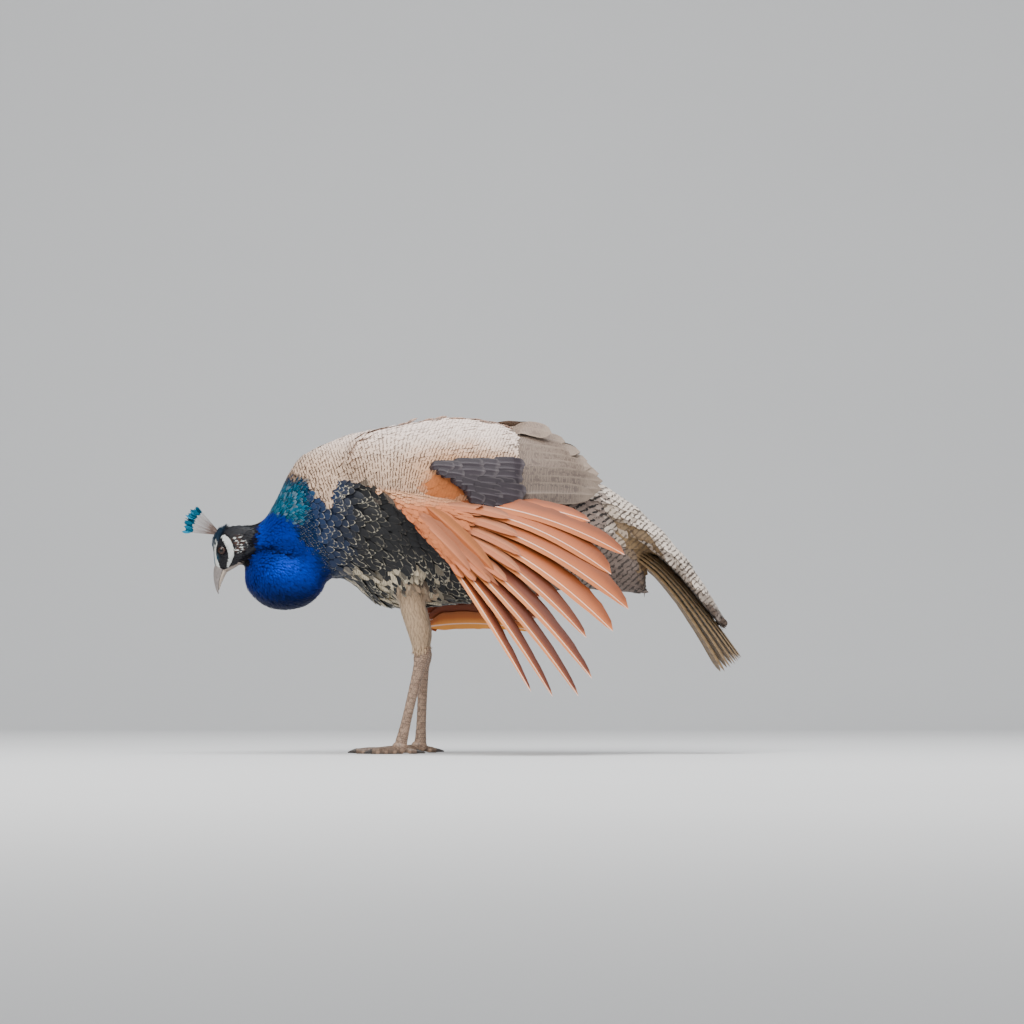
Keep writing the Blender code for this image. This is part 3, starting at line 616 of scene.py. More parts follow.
def paint_rump(state, points):
    """Rump and upper tail coverts: pale with wavy dark bars on top, brown along the sides, grey below."""
    x, _, z = points.T
    depth = stroke_distance(x, z, TRAIN_TOP, np.zeros(len(TRAIN_TOP)))
    train = ease(0.185, 0.225, x) * ease(0.30, 0.33, z + 0.45 * (x - 0.19) + 0.02)
    paint_over(state, train, tint=RUMP_PALE, mark=RUMP_DARK, bars=0.95, rim=0.0)
    side = ease(0.020, 0.034, depth)
    paint_over(state, side * ease(0.245, 0.275, x), tint=TAIL_BROWN, mark=RUMP_DARK, bars=0.55)
    hip = side * ease(0.26, 0.23, x) * ease(0.18, 0.20, x)
    paint_over(state, hip, tint=VENT_GREY * 1.3, mark=FLANK_BLACK, bars=0.95)
    underside = ease(0.052, 0.066, depth) * ease(0.20, 0.24, x)
    paint_over(state, underside, tint=VENT_GREY, mark=FLANK_BLACK, bars=0.7)


def paint_neck(state, points):
    """Royal blue on the neck's folds, teal and grey on the nape, painted shade as deep blue below and behind,
    and a painted dark line in the fold.
    """
    x, _, z = points.T
    flat = points * [1, 0.8, 1]
    nape = (1 - ease(-0.176, -0.160, x)) * ease(0.312, 0.330, z)
    nape = nape * (1 - ease(0.362, 0.380, z + 0.006 * ripple(points, 0.02)))
    scaly = blend(TEAL, TEAL * 0.45, ease(-0.3, 0.6, ripple(points, 0.014, 4.0)))
    scaly = blend(scaly, NAPE_GREY, 0.6 * ease(0.1, 0.7, ripple(points, 0.011, 6.0)))
    paint_over(state, nape, tint=scaly, mark=NAPE_GREY, bars=0.0, rim=0.55)
    crop = near(flat, CROP_AT, (0.072, 0.070, 0.066), 0.22)
    # The crop's blue deepens towards its bottom and towards the back: painted shade
    blue = blend(ROYAL_BLUE, DEEP_BLUE, np.maximum(ease(-0.180, -0.130, x), ease(0.256, 0.206, z)))
    paint_over(state, crop, tint=blue, mark=DEEP_BLUE, bars=0.0, rim=0.30, shaft=0.0)
    lobe = near(flat, NAPE_FOLD_AT, (0.042, 0.060, 0.036), 0.22)
    paint_over(state, lobe, tint=ROYAL_BLUE, mark=DEEP_BLUE, bars=0.0, rim=0.30, shaft=0.0)
    between = near(flat, (-0.192, 0.0, 0.274), (0.040, 0.064, 0.030), 0.3)
    paint_over(state, between, tint=blend(ROYAL_BLUE, DEEP_BLUE, 0.4), mark=DEEP_BLUE, rim=0.30)
    # A dark line painted along the fold between the upper lobe and the crop: painted shade in the crease
    paint_over(state, 0.85 * crease_share(points, 0.0035), tint=DEEP_BLUE * 0.4)


print("in the creases:", int((crease_share(body_points, 0.0035) > 0.5).sum()), "of the skin's points")

# %% Head, and all layers together


def paint_head(state, points):
    """Black face, dark blue crown, speckled ear, and the bare white patches."""
    x, _, z = points.T
    forward, upward, _ = head_place(points)
    head = 1 - ease(-0.003, 0.004, x - np.interp(z, [0.245, 0.262, 0.325], [-0.262, -0.246, -0.233]))
    paint_over(state, head, tint=DARK_FACE, mark=CROWN_BLUE, bars=0.0, rim=0.4, shaft=0.0)
    crown = head * ease(0.0085, 0.0125, upward - 0.35 * np.maximum(forward, 0))
    paint_over(state, crown, tint=CROWN_BLUE, mark=DARK_FACE)
    brow = head * ease(0.004, 0.012, forward) * ease(-0.004, 0.004, upward)
    paint_over(state, brow, tint=blend(CROWN_BLUE, TEAL, 0.35))
    ear = head * near(np.stack([forward, upward], -1), (-0.0165, -0.0150), (0.0150, 0.0160), 0.5)
    paint_over(state, 0.85 * ear * ease(-0.3, 0.3, ripple(points, 0.0090, 3.0)), tint=EAR_BROWN)
    specks = (ripple(points, 0.0037, 1.0) + 0.7 * ripple(points, 0.0023, 4.0)
              + 0.5 * ripple(points, 0.0110, 2.0))
    paint_over(state, ear * ease(0.48, 0.70, specks), tint=WHITE_SKIN)
    jaw = head * ease(0.0015, 0.0035, -0.0124 - upward - 0.86 * (0.0215 - forward)) * ease(-0.259, -0.264, x)
    paint_over(state, 0.9 * jaw, tint=PALE_JAW, rim=0.0)
    paint_over(state, head * bare_white(points), tint=WHITE_SKIN, rim=0.0)


def markings(points):
    """Tint and mark colours and the three strengths, at points given in the bird's metres."""
    count = len(points)
    state = dict(tint=np.tile(BUFF, (count, 1)), mark=np.tile(BAR_BROWN, (count, 1)),
                 bars=np.full(count, 0.95), rim=np.zeros(count), shaft=np.zeros(count))
    for layer in (paint_back, paint_underparts, paint_rump, paint_neck, paint_head):
        layer(state, points)
    return state


print("tint of the crop:", np.round(markings(CROP_AT[None])["tint"][0], 3))

# %% [markdown]
# ## Feather marks as one shader group
#
# Every feather carries, on each of its points, its ground colour, its mark colour, its place on
# the vane and its place in metres. One shader group turns these into bars, rims, a shaft and the
# fine combed lines of the barbs. It puts out a colour and a height only, so each material keeps
# its own surface.

# %% The feather marks group


def maths(tree, operation, *sources):
    """One math node's value."""
    return shader_node(tree, "ShaderNodeMath", *sources, operation=operation).outputs[0]


def eased(tree, value, low, high):
    """A smooth step from low to high."""
    step = shader_node(tree, "ShaderNodeMapRange", value, low, high, 0.0, 1.0, interpolation_type="SMOOTHSTEP")
    return step.outputs[0]


def mixed(tree, share, first, second):
    """Two colours mixed by a share. The five inputs between, for other kinds, are left alone."""
    between = [None] * 5
    return shader_node(tree, "ShaderNodeMix", share, *between, first, second, data_type="RGBA").outputs[2]


def scaled(tree, colour, factor):
    """A colour multiplied by one number."""
    made = shader_node(tree, "ShaderNodeVectorMath", colour, None, None, factor, operation="SCALE")
    return made.outputs[0]


def layer_of(tree, layer, output="Vector"):
    """What the mesh's points carry under a name."""
    return shader_node(tree, "ShaderNodeAttribute", attribute_name=layer).outputs[output]


def surfaced(tree, surface, colour, height, strength, depth):
    """Gives a surface its colour, and a height as bump. Returns the bump node."""
    tree.links.new(colour, surface.inputs["Base Color"])
    raised = shader_node(tree, "ShaderNodeBump", strength, depth)
    tree.links.new(height, raised.inputs["Height"])
    tree.links.new(raised.outputs[0], surface.inputs["Normal"])
    return raised


def new_group(name, inputs, outputs):
    """An empty node group with the named sockets, and its two ends."""
    tree = bpy.data.node_groups.new(name, "ShaderNodeTree")
    for label, kind in inputs:
        tree.interface.new_socket(label, in_out="INPUT", socket_type=kind)
    for label, kind in outputs:
        tree.interface.new_socket(label, in_out="OUTPUT", socket_type=kind)
    return tree, tree.nodes.new("NodeGroupInput"), tree.nodes.new("NodeGroupOutput")


def make_marks_group():
    """Bars across, a rim round the tip, a shaft down the middle, and barbs slanting from it."""
    tree, given, result = new_group(
        "feather_marks",
        [("Tint", "NodeSocketColor"), ("Mark", "NodeSocketColor"), ("Vane", "NodeSocketVector"),
         ("Lay", "NodeSocketVector"), ("Strength", "NodeSocketVector"), ("Barbs", "NodeSocketFloat")],
        [("Color", "NodeSocketColor"), ("Height", "NodeSocketFloat")])

    def times(first, second):
        return maths(tree, "MULTIPLY", first, second)

    def noise(place, scale, detail):
        return shader_node(tree, "ShaderNodeTexNoise", place, None, scale, detail).outputs["Fac"]

    (along, across, seed), (bar_phase, millimetres, from_shaft), (bar_share, rim_share, shaft_share) = (
        shader_node(tree, "ShaderNodeSeparateXYZ", given.outputs[label]).outputs
        for label in ("Vane", "Lay", "Strength"))
    side = maths(tree, "ABSOLUTE", across)
    place = shader_node(tree, "ShaderNodeTexCoord").outputs["Object"]
    wobble = noise(place, 150.0, 2.0)
    slant = times(times(side, side), 0.12)
    phase = maths(tree, "ADD", maths(tree, "SUBTRACT", bar_phase, slant), times(wobble, 0.9))
    wave = maths(tree, "SINE", times(phase, 2 * math.pi))
    gaps = eased(tree, noise(place, 210.0, 1.0), 0.38, 0.48)
    bars = times(times(eased(tree, wave, 0.05, 0.65), gaps), bar_share)
    tip = eased(tree, maths(tree, "ADD", along, times(wobble, 0.10)), 0.88, 0.99)
    edge = times(eased(tree, side, 0.74, 0.97), eased(tree, along, 0.40, 0.70))
    rim = times(maths(tree, "MAXIMUM", tip, edge), rim_share)
    tapered = times(from_shaft, maths(tree, "ADD", along, 1.0))
    shaft = times(eased(tree, tapered, 1.35, 0.75), shaft_share)
    marked = maths(tree, "MAXIMUM", maths(tree, "MAXIMUM", bars, rim), shaft)
    marked = shader_node(tree, "ShaderNodeClamp", marked).outputs[0]
    colour = mixed(tree, marked, given.outputs["Tint"], given.outputs["Mark"])
    combed = maths(tree, "SUBTRACT", millimetres, times(side, 0.6))
    barbs = maths(tree, "SINE", times(combed, given.outputs["Barbs"]))
    streak = noise(shader_node(tree, "ShaderNodeCombineXYZ", combed, seed, 0.0).outputs[0], 1.3, 3.0)
    light = maths(tree, "ADD", maths(tree, "ADD", times(streak, 0.30), times(seed, 0.16)), 0.77)
    tree.links.new(scaled(tree, colour, light), result.inputs["Color"])
    tree.links.new(times(barbs, 0.5), result.inputs["Height"])
    return tree


marks_group = make_marks_group()


def feather_paint(name, roughness, metal=0.0, sheen=0.0, specular=0.4, barbs=9.0, bump=0.25):
    """A feather material: the marks group for colour and barbs, and a surface of its own."""
    paint, tree, surface = new_paint(name, Roughness=roughness, Metallic=metal, Specular_IOR_Level=specular,
                                     Sheen_Weight=sheen)
    colours = [layer_of(tree, layer, "Color") for layer in ("tint", "mark")]
    places = [layer_of(tree, layer) for layer in ("vane", "lay", "strength")]
    marks = shader_node(tree, "ShaderNodeGroup", node_tree=marks_group)
    for socket, source in zip(marks.inputs, colours + places):
        tree.links.new(source, socket)
    marks.inputs["Barbs"].default_value = barbs
    surfaced(tree, surface, marks.outputs["Color"], marks.outputs["Height"], bump, 0.0002)
    return paint


barred_paint = feather_paint("barred_plumage", 0.78, sheen=0.10, specular=0.25, barbs=18.0, bump=0.15)
blue_paint = feather_paint("blue_plumage", 0.52, metal=0.80, specular=0.3, barbs=26.0, bump=0.10)
dark_paint = feather_paint("breast_plumage", 0.55, metal=0.10, specular=0.4, barbs=24.0, bump=0.12)
flight_paint = feather_paint("flight_feathers", 0.55, specular=0.35, barbs=5.0, bump=0.35)
down_paint = feather_paint("down", 0.9, sheen=0.25, specular=0.15)
print("marks group:", len(marks_group.nodes), "nodes, used by five materials")

# %% [markdown]
# ## The skin as one piece
#
# The head's fine surface and the body's coarser one become one object. It is painted with the same
# markings as the feathers, only darker as painted shade in the gaps, so a gap between two feathers never shows
# a wrong colour.

# %% Join the two surfaces and paint them


def skin_paint():
    """Skin: the painted tint under fine pebbles, which are cells of 0.7 mm, lower at their edges and darker
    there as painted shade.
    """
    paint, tree, surface = new_paint("skin", Roughness=0.6, Specular_IOR_Level=0.15)
    place = shader_node(tree, "ShaderNodeTexCoord").outputs["Object"]
    pebbles = shader_node(tree, "ShaderNodeTexVoronoi", place, None, 1400.0).outputs["Distance"]
    shade = shader_node(tree, "ShaderNodeMapRange", pebbles, 0.0, 0.7, 1.0, 0.72).outputs[0]
    tint = scaled(tree, layer_of(tree, "tint", "Color"), shade)
    surfaced(tree, surface, tint, pebbles, 0.35, 0.0002).invert = True
    return paint


skin_points = np.concatenate([body_points, head_points])
skin_triangles = np.concatenate([body_triangles, head_triangles + len(body_points)])
# Under the feathers the skin is painted at 0.92 of the markings, and blue skin at 0.6 of that: painted shade in
# the gaps between feathers
skin_tint = markings(skin_points)["tint"] * np.where(bare_white(skin_points) > 0.5, 1.0, 0.92)[:, None]
is_blue = skin_tint[:, 2] > 2 * skin_tint[:, 0]
skin_tint = skin_tint * np.where(is_blue, 0.60, 1.0)[:, None]    # darker between blue feathers
skin = make_piece("skin", skin_points, skin_triangles, skin_paint(), stands_for=FLESH,
                  layers={"tint": with_alpha(skin_tint)})

# %% [markdown]
# ## The lie of the plumage
#
# Feathers point away from the bill, over the nape and back to the tail, and down the thighs. A few
# guide arrows say which way they lie at known places, and any other place takes the mean of the
# arrows, weighted by nearness.

# %% Guide arrows
LIE = np.array([
    # place on the left or right side        # way the feathers point
    (-0.300, 0.010, 0.285, 0.45, 0.00, 0.89), (-0.292, 0.017, 0.262, 0.75, 0.15, 0.65),
    (-0.270, 0.018, 0.270, 0.95, 0.05, 0.20), (-0.262, 0.015, 0.250, 0.80, 0.05, -0.60),
    (-0.270, 0.012, 0.310, 0.90, 0.00, 0.40), (-0.245, 0.018, 0.285, 1.00, 0.15, -0.15),
    (-0.240, 0.010, 0.320, 0.80, 0.10, 0.60), (-0.210, 0.035, 0.300, 0.85, 0.10, -0.45),
    (-0.255, 0.020, 0.235, 0.10, 0.20, -1.00), (-0.230, 0.040, 0.225, 0.45, 0.10, -0.90),
    (-0.200, 0.000, 0.195, 1.00, 0.00, -0.05), (-0.190, 0.045, 0.240, 0.80, 0.05, -0.55),
    (-0.150, 0.030, 0.215, 0.95, 0.00, 0.25), (-0.215, 0.000, 0.355, 0.50, 0.00, 0.85),
    (-0.205, 0.045, 0.350, 0.85, 0.20, 0.25), (-0.185, 0.000, 0.410, 0.75, 0.00, 0.65),
    (-0.170, 0.060, 0.380, 0.95, 0.10, -0.10), (-0.120, 0.080, 0.330, 0.95, 0.00, -0.40),
    (-0.120, 0.020, 0.445, 1.00, 0.00, 0.12), (-0.080, 0.090, 0.400, 0.95, 0.05, -0.30),
    (0.000, 0.000, 0.465, 1.00, 0.00, 0.02), (0.030, 0.095, 0.410, 1.00, 0.00, -0.12),
    (0.090, 0.090, 0.360, 1.00, 0.00, -0.05), (0.120, 0.000, 0.450, 1.00, 0.00, -0.20),
    (0.200, 0.020, 0.410, 0.85, 0.00, -0.50), (0.300, 0.020, 0.330, 0.68, 0.00, -0.73),
    (0.370, 0.020, 0.250, 0.58, 0.00, -0.82), (0.250, 0.050, 0.270, 0.80, 0.00, -0.60),
    (-0.060, 0.040, 0.205, 1.00, 0.00, 0.00), (0.060, 0.040, 0.210, 1.00, 0.00, 0.05),
    (0.180, 0.020, 0.220, 0.95, 0.00, -0.10), (-0.020, 0.075, 0.220, 0.25, 0.05, -0.97),
    (-0.012, 0.060, 0.160, 0.05, 0.00, -1.00), (-0.045, 0.050, 0.190, 0.10, 0.00, -1.00)])


def lie_at(points):
    """Mean of the guide arrows, weighted by one over the fourth power of the distance, on either side."""
    away = ((folded(points)[:, None] - LIE[None, :, :3]) ** 2).sum(-1)
    weight = 1 / (away + 2e-4) ** 2
    way = weight @ LIE[:, 3:] / weight.sum(1, keepdims=True)
    way[:, 1] *= np.sign(points[:, 1])
    return unit(way)


print(len(LIE), "guide arrows")

# %% [markdown]
# ## Where the feathers root
#
# Random places on the skin, drawn in proportion to area, then thinned so that no two stand closer
# than the spacing there. That gives the even but unregimented cover of real feather tracts.

# %% Root places


def root_places(surface, wanted, spacing, seed, flow=None):
    """Places and normals on the triangles that are wanted, none closer together than the spacing. Where the
    flow is given, none is on a face that it runs straight out of."""
    points, normals, triangles = surface
    draw = np.random.default_rng(seed)
    corners = points[triangles]
    middle = corners.mean(1)
    kept = wanted(middle) > 0.5
    corners, turned = corners[kept], normals[triangles[kept]]
    area = np.linalg.norm(np.cross(corners[:, 1] - corners[:, 0], corners[:, 2] - corners[:, 0]), axis=1) / 2
    area = area * (flow is None or ((flow(corners.mean(1)) * turned.mean(1)).sum(1) < 0.80))
    gap = spacing(corners.mean(1)) if callable(spacing) else np.full(len(corners), spacing)
    chance = np.cumsum(area / gap ** 2)
    count = int(chance[-1] * 5)
    pick = np.searchsorted(chance, draw.random(count) * chance[-1])
    share = draw.random((count, 2))
    share = np.where(share.sum(1, keepdims=True) > 1, 1 - share, share)
    share = np.concatenate([1 - share.sum(1, keepdims=True), share], 1)[:, :, None]
    place = (corners[pick] * share).sum(1)
    normal = unit((turned[pick] * share).sum(1))
    tree = KDTree(count)
    for index, root in enumerate(place):
        tree.insert(root, index)
    tree.balance()
    free = np.ones(count, bool)
    chosen = []
    for index in range(count):
        if free[index]:
            chosen.append(index)
            free[[hit[1] for hit in tree.find_range(place[index], gap[pick[index]])]] = False
    return place[chosen], normal[chosen]


everywhere = root_places(BODY, lambda middle: np.ones(len(middle)), 0.03, 1)
print("places 30 mm apart on the body:", len(everywhere[0]))

# %% [markdown]
# ## A feather
#
# Every feather, small or large, is the same closed shell: a point at the root, rings of points
# along it, and a point at the tip. A ring runs over the top of the vane from edge to edge and back
# underneath. Small feathers have four points in a ring; quills have more, with a raised shaft.

# %% The feather shell
# points round a ring: share of the half width, share of the thickness
LEAF_RING = np.array([(-1, 0), (0, 1), (1, 0), (0, -0.6)])
QUILL_RING = np.array([(-1, 0), (-0.62, 0.5), (-0.20, 0.6), (0, 3.2), (0.055, 0.7), (0.30, 0.5), (0.65, 0.5),
                       (1, 0), (0.5, -0.5), (0, -2.0), (-0.5, -0.5)])


def feather_shells(path, up, lead, trail, thick, camber, ring):
    """Closed shells. path is (feathers, stations, 3); lead and trail are the half widths on each side
    at each station. A ring point lies at its share of the half width, raised by its share of the
    thickness, and lowered by camber x half width x share squared."""
    count, stations = lead.shape
    along = unit(np.gradient(path, axis=1))
    across = unit(np.cross(up, along))
    normal = np.cross(along, across)
    share, rise = ring.T
    wide = np.where(share < 0, lead[:, 1:-1, None] * share, trail[:, 1:-1, None] * share)
    high = rise * thick[:, 1:-1, None] - np.asarray(camber).reshape(-1, 1, 1) * np.abs(wide * share)
    rings = (path[:, 1:-1, None] + across[:, 1:-1, None] * wide[..., None]
             + normal[:, 1:-1, None] * high[..., None])
    points = np.concatenate([path[:, :1], path[:, -1:], rings.reshape(count, -1, 3)], 1)
    u = np.linspace(0, 1, stations)
    vane = np.empty((len(share) * (stations - 2) + 2, 2))
    vane[0], vane[1] = (0, 0), (1, 0)
    vane[2:, 0], vane[2:, 1] = np.repeat(u[1:-1], len(share)), np.tile(share, stations - 2)
    faces = shell_faces(stations - 2, len(share))
    offset = (np.arange(count) * points.shape[1])[:, None, None]
    return points, vane, (faces[None] + offset).reshape(-1, 3)


def shell_faces(rings, around):
    """Triangles of one shell: a fan at the root, bands between the rings, and a fan at the tip."""
    spot = np.arange(around)
    after = (spot + 1) % around
    root = np.stack([np.zeros(around, int), 2 + spot, 2 + after], -1)
    last = 2 + (rings - 1) * around
    tip = np.stack([np.ones(around, int), last + after, last + spot], -1)
    start = (2 + np.arange(rings - 1) * around)[:, None]
    a, b, c, d = start + spot, start + around + spot, start + around + after, start + after
    bands = np.concatenate([np.stack([a, b, c], -1).reshape(-1, 3), np.stack([a, c, d], -1).reshape(-1, 3)])
    return np.concatenate([root, bands, tip])


print("a small feather of five rings has", len(shell_faces(5, len(LEAF_RING))), "faces")

# %% [markdown]
# Each point of a feather carries what the marks group reads, and a place on the map that the finish
# is baked to: small feathers lie there where they root, and large ones side by side.

# %% What a feather's points carry


def feather_layers(vane, luck, tint, mark, strength, lay):
    """What the marks group reads on every point. Each value is given for every feather, as (feathers, 1,
    columns), or for every point of it, as (feathers, points, columns)."""
    place = np.stack(np.broadcast_arrays(vane[None, :, 0], vane[None, :, 1], luck[:, None]), -1)
    values = {"tint": with_alpha(tint), "mark": with_alpha(mark), "strength": strength, "vane": place,
              "lay": np.stack(np.broadcast_arrays(*lay), -1)}
    return {layer: np.broadcast_to(value, place.shape[:2] + value.shape[-1:]).reshape(-1, value.shape[-1])
            for layer, value in values.items()}


def vane_rim(vane, count):
    """True at the root, the tip and both edges of every feather."""
    return np.tile((np.abs(vane[:, 1]) > 0.99) | (vane[:, 0] % 1 == 0), count)


def unwrap(points):
    """The skin rolled out flat: metres along the bird, and the turn about its axis as a share of one."""
    x, y, z = points.T
    axis = np.interp(x, [-0.30, -0.24, -0.15, 0.0, 0.20, 0.42], [0.28, 0.29, 0.32, 0.33, 0.33, 0.17])
    return np.stack([x, np.arctan2(y, z - axis) / (2 * math.pi)], -1)


LEAF_CORE = 0.0001                          # the least thickness of a small feather
BAKE_PATCH = 0.003                          # a small feather's share of the map's width


def bake_places(roots, vane):
    """A patch of the map for each feather, at its root's place on the unwrap, scaled to fill the map."""
    flat = unwrap(roots)
    low, high = flat.min(0), flat.max(0)
    flat = 0.01 + 0.98 * (flat - low) / np.maximum(high - low, 1e-6)
    patch = (vane * [1.0, 0.5] - [0.5, 0.0]) * BAKE_PATCH
    return np.clip(flat[:, None] + patch[None], 0, 1).reshape(-1, 2)


def strip_bake(count, vane):
    """Baking places for a few large feathers: one strip each, side by side."""
    slots = (np.arange(count)[:, None] + 0.5 + 0.42 * vane[None, :, 1]) / count
    return np.stack([np.broadcast_to(0.02 + 0.96 * vane[None, :, 0], slots.shape), slots], -1).reshape(-1, 2)


print("unwrapped, the crop's middle lies at", np.round(unwrap(CROP_AT[None])[0], 3))

# %% [markdown]
# A small feather starts just under the skin and follows the lie of the plumage. Where the body
# bulges, it is raised until its tip is clear. Bars run on from feather to feather, because they
# follow the place on the body, each a little out of step.

# %% Laying small feathers


def laid(root, normal, way, length, lift, curl, stations):
    """Centre lines that start a little under the skin, lie along the plumage and rise by lift u - curl u^2."""
    way = unit(way - normal * (way * normal).sum(1, keepdims=True))
    u = np.linspace(0, 1, stations)[None, :, None]
    run, lift, curl = (np.asarray(value).reshape(-1, 1, 1) for value in (length, lift, curl))
    rise = run * (lift * u - curl * u ** 2) - np.minimum(0.05 * run, 0.0005)
    return root[:, None] + way[:, None] * run * u + normal[:, None] * rise


skin_tree = BVHTree.FromPolygons(body_points.tolist(), body_triangles.tolist())
TIP_CLEARANCE = 0.0008
STEEPEST = 0.45


def clearance(root, normal, way, length, lift, curl):
    """How much steeper each feather must rise for its tip to clear the body's skin."""
    tips = laid(root, normal, way, length, lift, curl, 2)[:, 1]
    hits = [skin_tree.find_nearest(tip)[:2] for tip in tips.tolist()]
    below, face = (np.array([hit[part] for hit in hits]) for part in (0, 1))
    return np.clip((TIP_CLEARANCE - ((tips - below) * face).sum(1)) / length, 0, STEEPEST)


def bar_field(points):
    """How far along the plumage a place lies: along x on the back, turning down along the tail coverts."""
    x, _, z = points.T
    tail = ease(0.14, 0.26, x)
    lean = (0.35 - 0.75 * ease(-0.12, 0.02, x)) * (z - 0.40)
    return (x + lean) * (1 - tail) + (0.66 * x - 0.75 * (z - 0.42)) * tail


def add_coat(name, places, length, width, lift, curl, paint, seed, profile, pitch=0.005, camber=0.3,
             thick=0.05, turn=0.10, state=None, way=None, colour_at=0.7, rimmed=1.0, blur=0.0, scatter=0.45,
             clear=True):
    """One piece of many feathers. Their colours are the markings at the part of each that shows, give or
    take the blur, and their bars are out of step by the scatter. The share that is rimmed has clear rims."""
    root, normal = places
    draw = np.random.default_rng(seed)
    count = len(root)
    way = lie_at(root) if way is None else way
    side = np.cross(normal, way)
    way = way + side * draw.normal(0, turn, (count, 1))
    length = length * draw.uniform(0.88, 1.12, count)
    width = width * draw.uniform(0.9, 1.1, count)
    stations = len(profile)
    lift = lift + clearance(root, normal, way, length, lift, curl) if clear else lift
    path = laid(root, normal, way, length, lift, curl, stations)
    half = width[:, None] * np.array(profile)[None]
    points, vane, faces = feather_shells(path, normal[:, None], half, half, half * thick + LEAF_CORE, camber,
                                         LEAF_RING)
    points[..., 2] = np.minimum(points[..., 2], cad_box[1][2] - 0.0003)
    if state is None:
        seen = root + unit(way) * (length * colour_at)[:, None]
        state = markings(seen + draw.normal(0, 1, (count, 3)) * blur)
    state["rim"] = state["rim"] * np.where(draw.random(count) < rimmed, 1.0, 0.12)
    luck = draw.random(count)
    phase = bar_field(points.reshape(-1, 3)).reshape(count, -1) / pitch + scatter * luck[:, None]
    millimetres = vane[None, :, 0] * length[:, None] * 1000
    strength = np.stack([state["bars"], state["rim"], state["shaft"]], -1)
    layers = feather_layers(vane, luck, state["tint"][:, None], state["mark"][:, None], strength[:, None],
                            (phase, millimetres, 0.0))
    make_piece(name, points.reshape(-1, 3), faces, paint, layers=layers, bake=bake_places(root, vane),
               rim=vane_rim(vane, count))


# %% [markdown]
# ## The small feathers, tract by tract
#
# A bird's feathers grow in tracts, and each tract has its own size and softness: tiny on the face,
# scale-like on the neck, broad on the back, loose on the rump and fine and hairy on the thighs.

# %% Which tract a place belongs to
FACE, NECK, BREAST, MANTLE, RUMP, THIGH = range(6)
HEAD_REACH = [0.030, 0, 0]                  # the head's tract ends this far in front of the line


def is_head(points):
    """1 on the head, in front of a slanting line behind the ear."""
    return points[:, 0] < np.interp(points[:, 2], [0.245, 0.262, 0.325], [-0.256, -0.242, -0.232])


def is_thigh(points):
    """1 on the thighs, below the belly."""
    x, _, z = points.T
    return (near(folded(points), THIGH_AT, (0.046, 0.038, 0.052), 0.1) > 0.5) | (z < 0.204) & (np.abs(x) < 0.08)


def is_neck(points):
    """1 on the folded neck and the nape."""
    x, _, z = points.T
    front = x < np.interp(z, [0.19, 0.25, 0.31, 0.36], [-0.148, -0.138, -0.160, -0.172])
    return front & (hem_edge(points) < 0.002) & ~is_head(points + HEAD_REACH) & (z > 0.19)


def face_feathers(points):
    """1 where the face grows feathers: off the bill, the lids and the bare patches."""
    forward, upward, aside = head_place(points)
    clear = (np.hypot(forward / 1.06, upward) > 0.0074) | (aside < 0.006)
    return (forward < 0.0235) & (forward > -0.042) & clear & (bare_white(points) < 0.3)


def tract(points):
    """Each place's tract. The flanks go with the breast, and the vent with the rump."""
    kind = np.where(hem_edge(points) > 0.0, MANTLE, BREAST)
    kind = np.where(points[:, 0] > 0.125, RUMP, kind)
    kind = np.where(is_neck(points), NECK, kind)
    kind = np.where(is_thigh(points), THIGH, kind)
    return np.where(is_head(points + HEAD_REACH), FACE, kind)


print("skin points in each tract:", np.bincount(tract(body_points)))

# %% [markdown]
# The face's feathers are a millimetre or two across and lie flat, except on the crown, where they
# are longer and stand up a little. The neck's are like small scales.

# %% Face and neck


def crown_share(points):
    """1 on the crown and the forehead, where the feathers are longest and stand up a little."""
    forward, upward, _ = head_place(points)
    return ease(0.0085, 0.0135, upward) * ease(0.026, 0.016, forward)


def coat_face():
    """Tiny feathers on the head, longer at the back, below the ear and on the crown."""
    places = root_places(HEAD, face_feathers, lambda p: 0.0013 - 0.0003 * crown_share(p), 11, lie_at)
    ahead, above, _ = head_place(places[0])
    back = np.maximum(ease(0.01, -0.04, ahead), ease(-0.020, -0.034, above))
    crown = crown_share(places[0])
    add_coat("coat_head", places, 0.0032 + 0.0042 * back + 0.0034 * crown, 0.0008 + 0.0006 * back,
             0.24 + 0.62 * crown, 0.10 + 0.22 * crown, dark_paint, 12, (0, 0.9, 0.9, 0),
             colour_at=0.4, clear=False)


def coat_neck():
    """Scale-like feathers, larger behind the first fold."""
    places = root_places(BODY, lambda p: tract(p) == NECK, 0.0026, 21)
    behind = ease(-0.262, -0.225, places[0][:, 0])
    add_coat("coat_neck", places, 0.0078 + 0.0022 * behind, 0.0015 + 0.0006 * behind, 0.34, 0.18, blue_paint,
             22, (0, 0.9, 1, 0.75, 0), camber=0.15, thick=0.03, turn=0.14, rimmed=0.5,
             blur=0.0025)


coat_face()
coat_neck()

# %% [markdown]
# On the body the feathers have a broad round tip. Over the thigh the flank's grow finer and lie less
# in order. The mantle ends in a clean edge over the wing's long feathers, so its last rows are cut
# to the length that is left.

# %% Breast, back, rump and thighs
ROUND_LEAF = (0, 0.70, 0.95, 1, 0.90, 0.62, 0)
MANTLE_END = 0.1245
RUMP_END = 0.402


def above_thigh(points):
    """1 over the top of the thigh, where the flank's feathers grow finer."""
    return near(folded(points), (-0.020, 0.056, 0.200), (0.060, 0.060, 0.075), 0.5)


def coat_breast():
    """Breast and flanks, in loose order."""
    places = root_places(BODY, lambda p: (tract(p) == BREAST) & ~under_wing(p),
                         lambda p: 0.0058 - 0.0022 * above_thigh(p), 31)
    fine = 1 - 0.42 * above_thigh(places[0])
    length = (0.015 + 0.009 * ease(-0.15, -0.05, places[0][:, 0])) * fine
    add_coat("coat_breast", places, length, 0.0048 * fine, 0.30, 0.16, dark_paint, 32,
             ROUND_LEAF, camber=0.12, thick=0.02, turn=0.36, rimmed=0.55, blur=0.004)


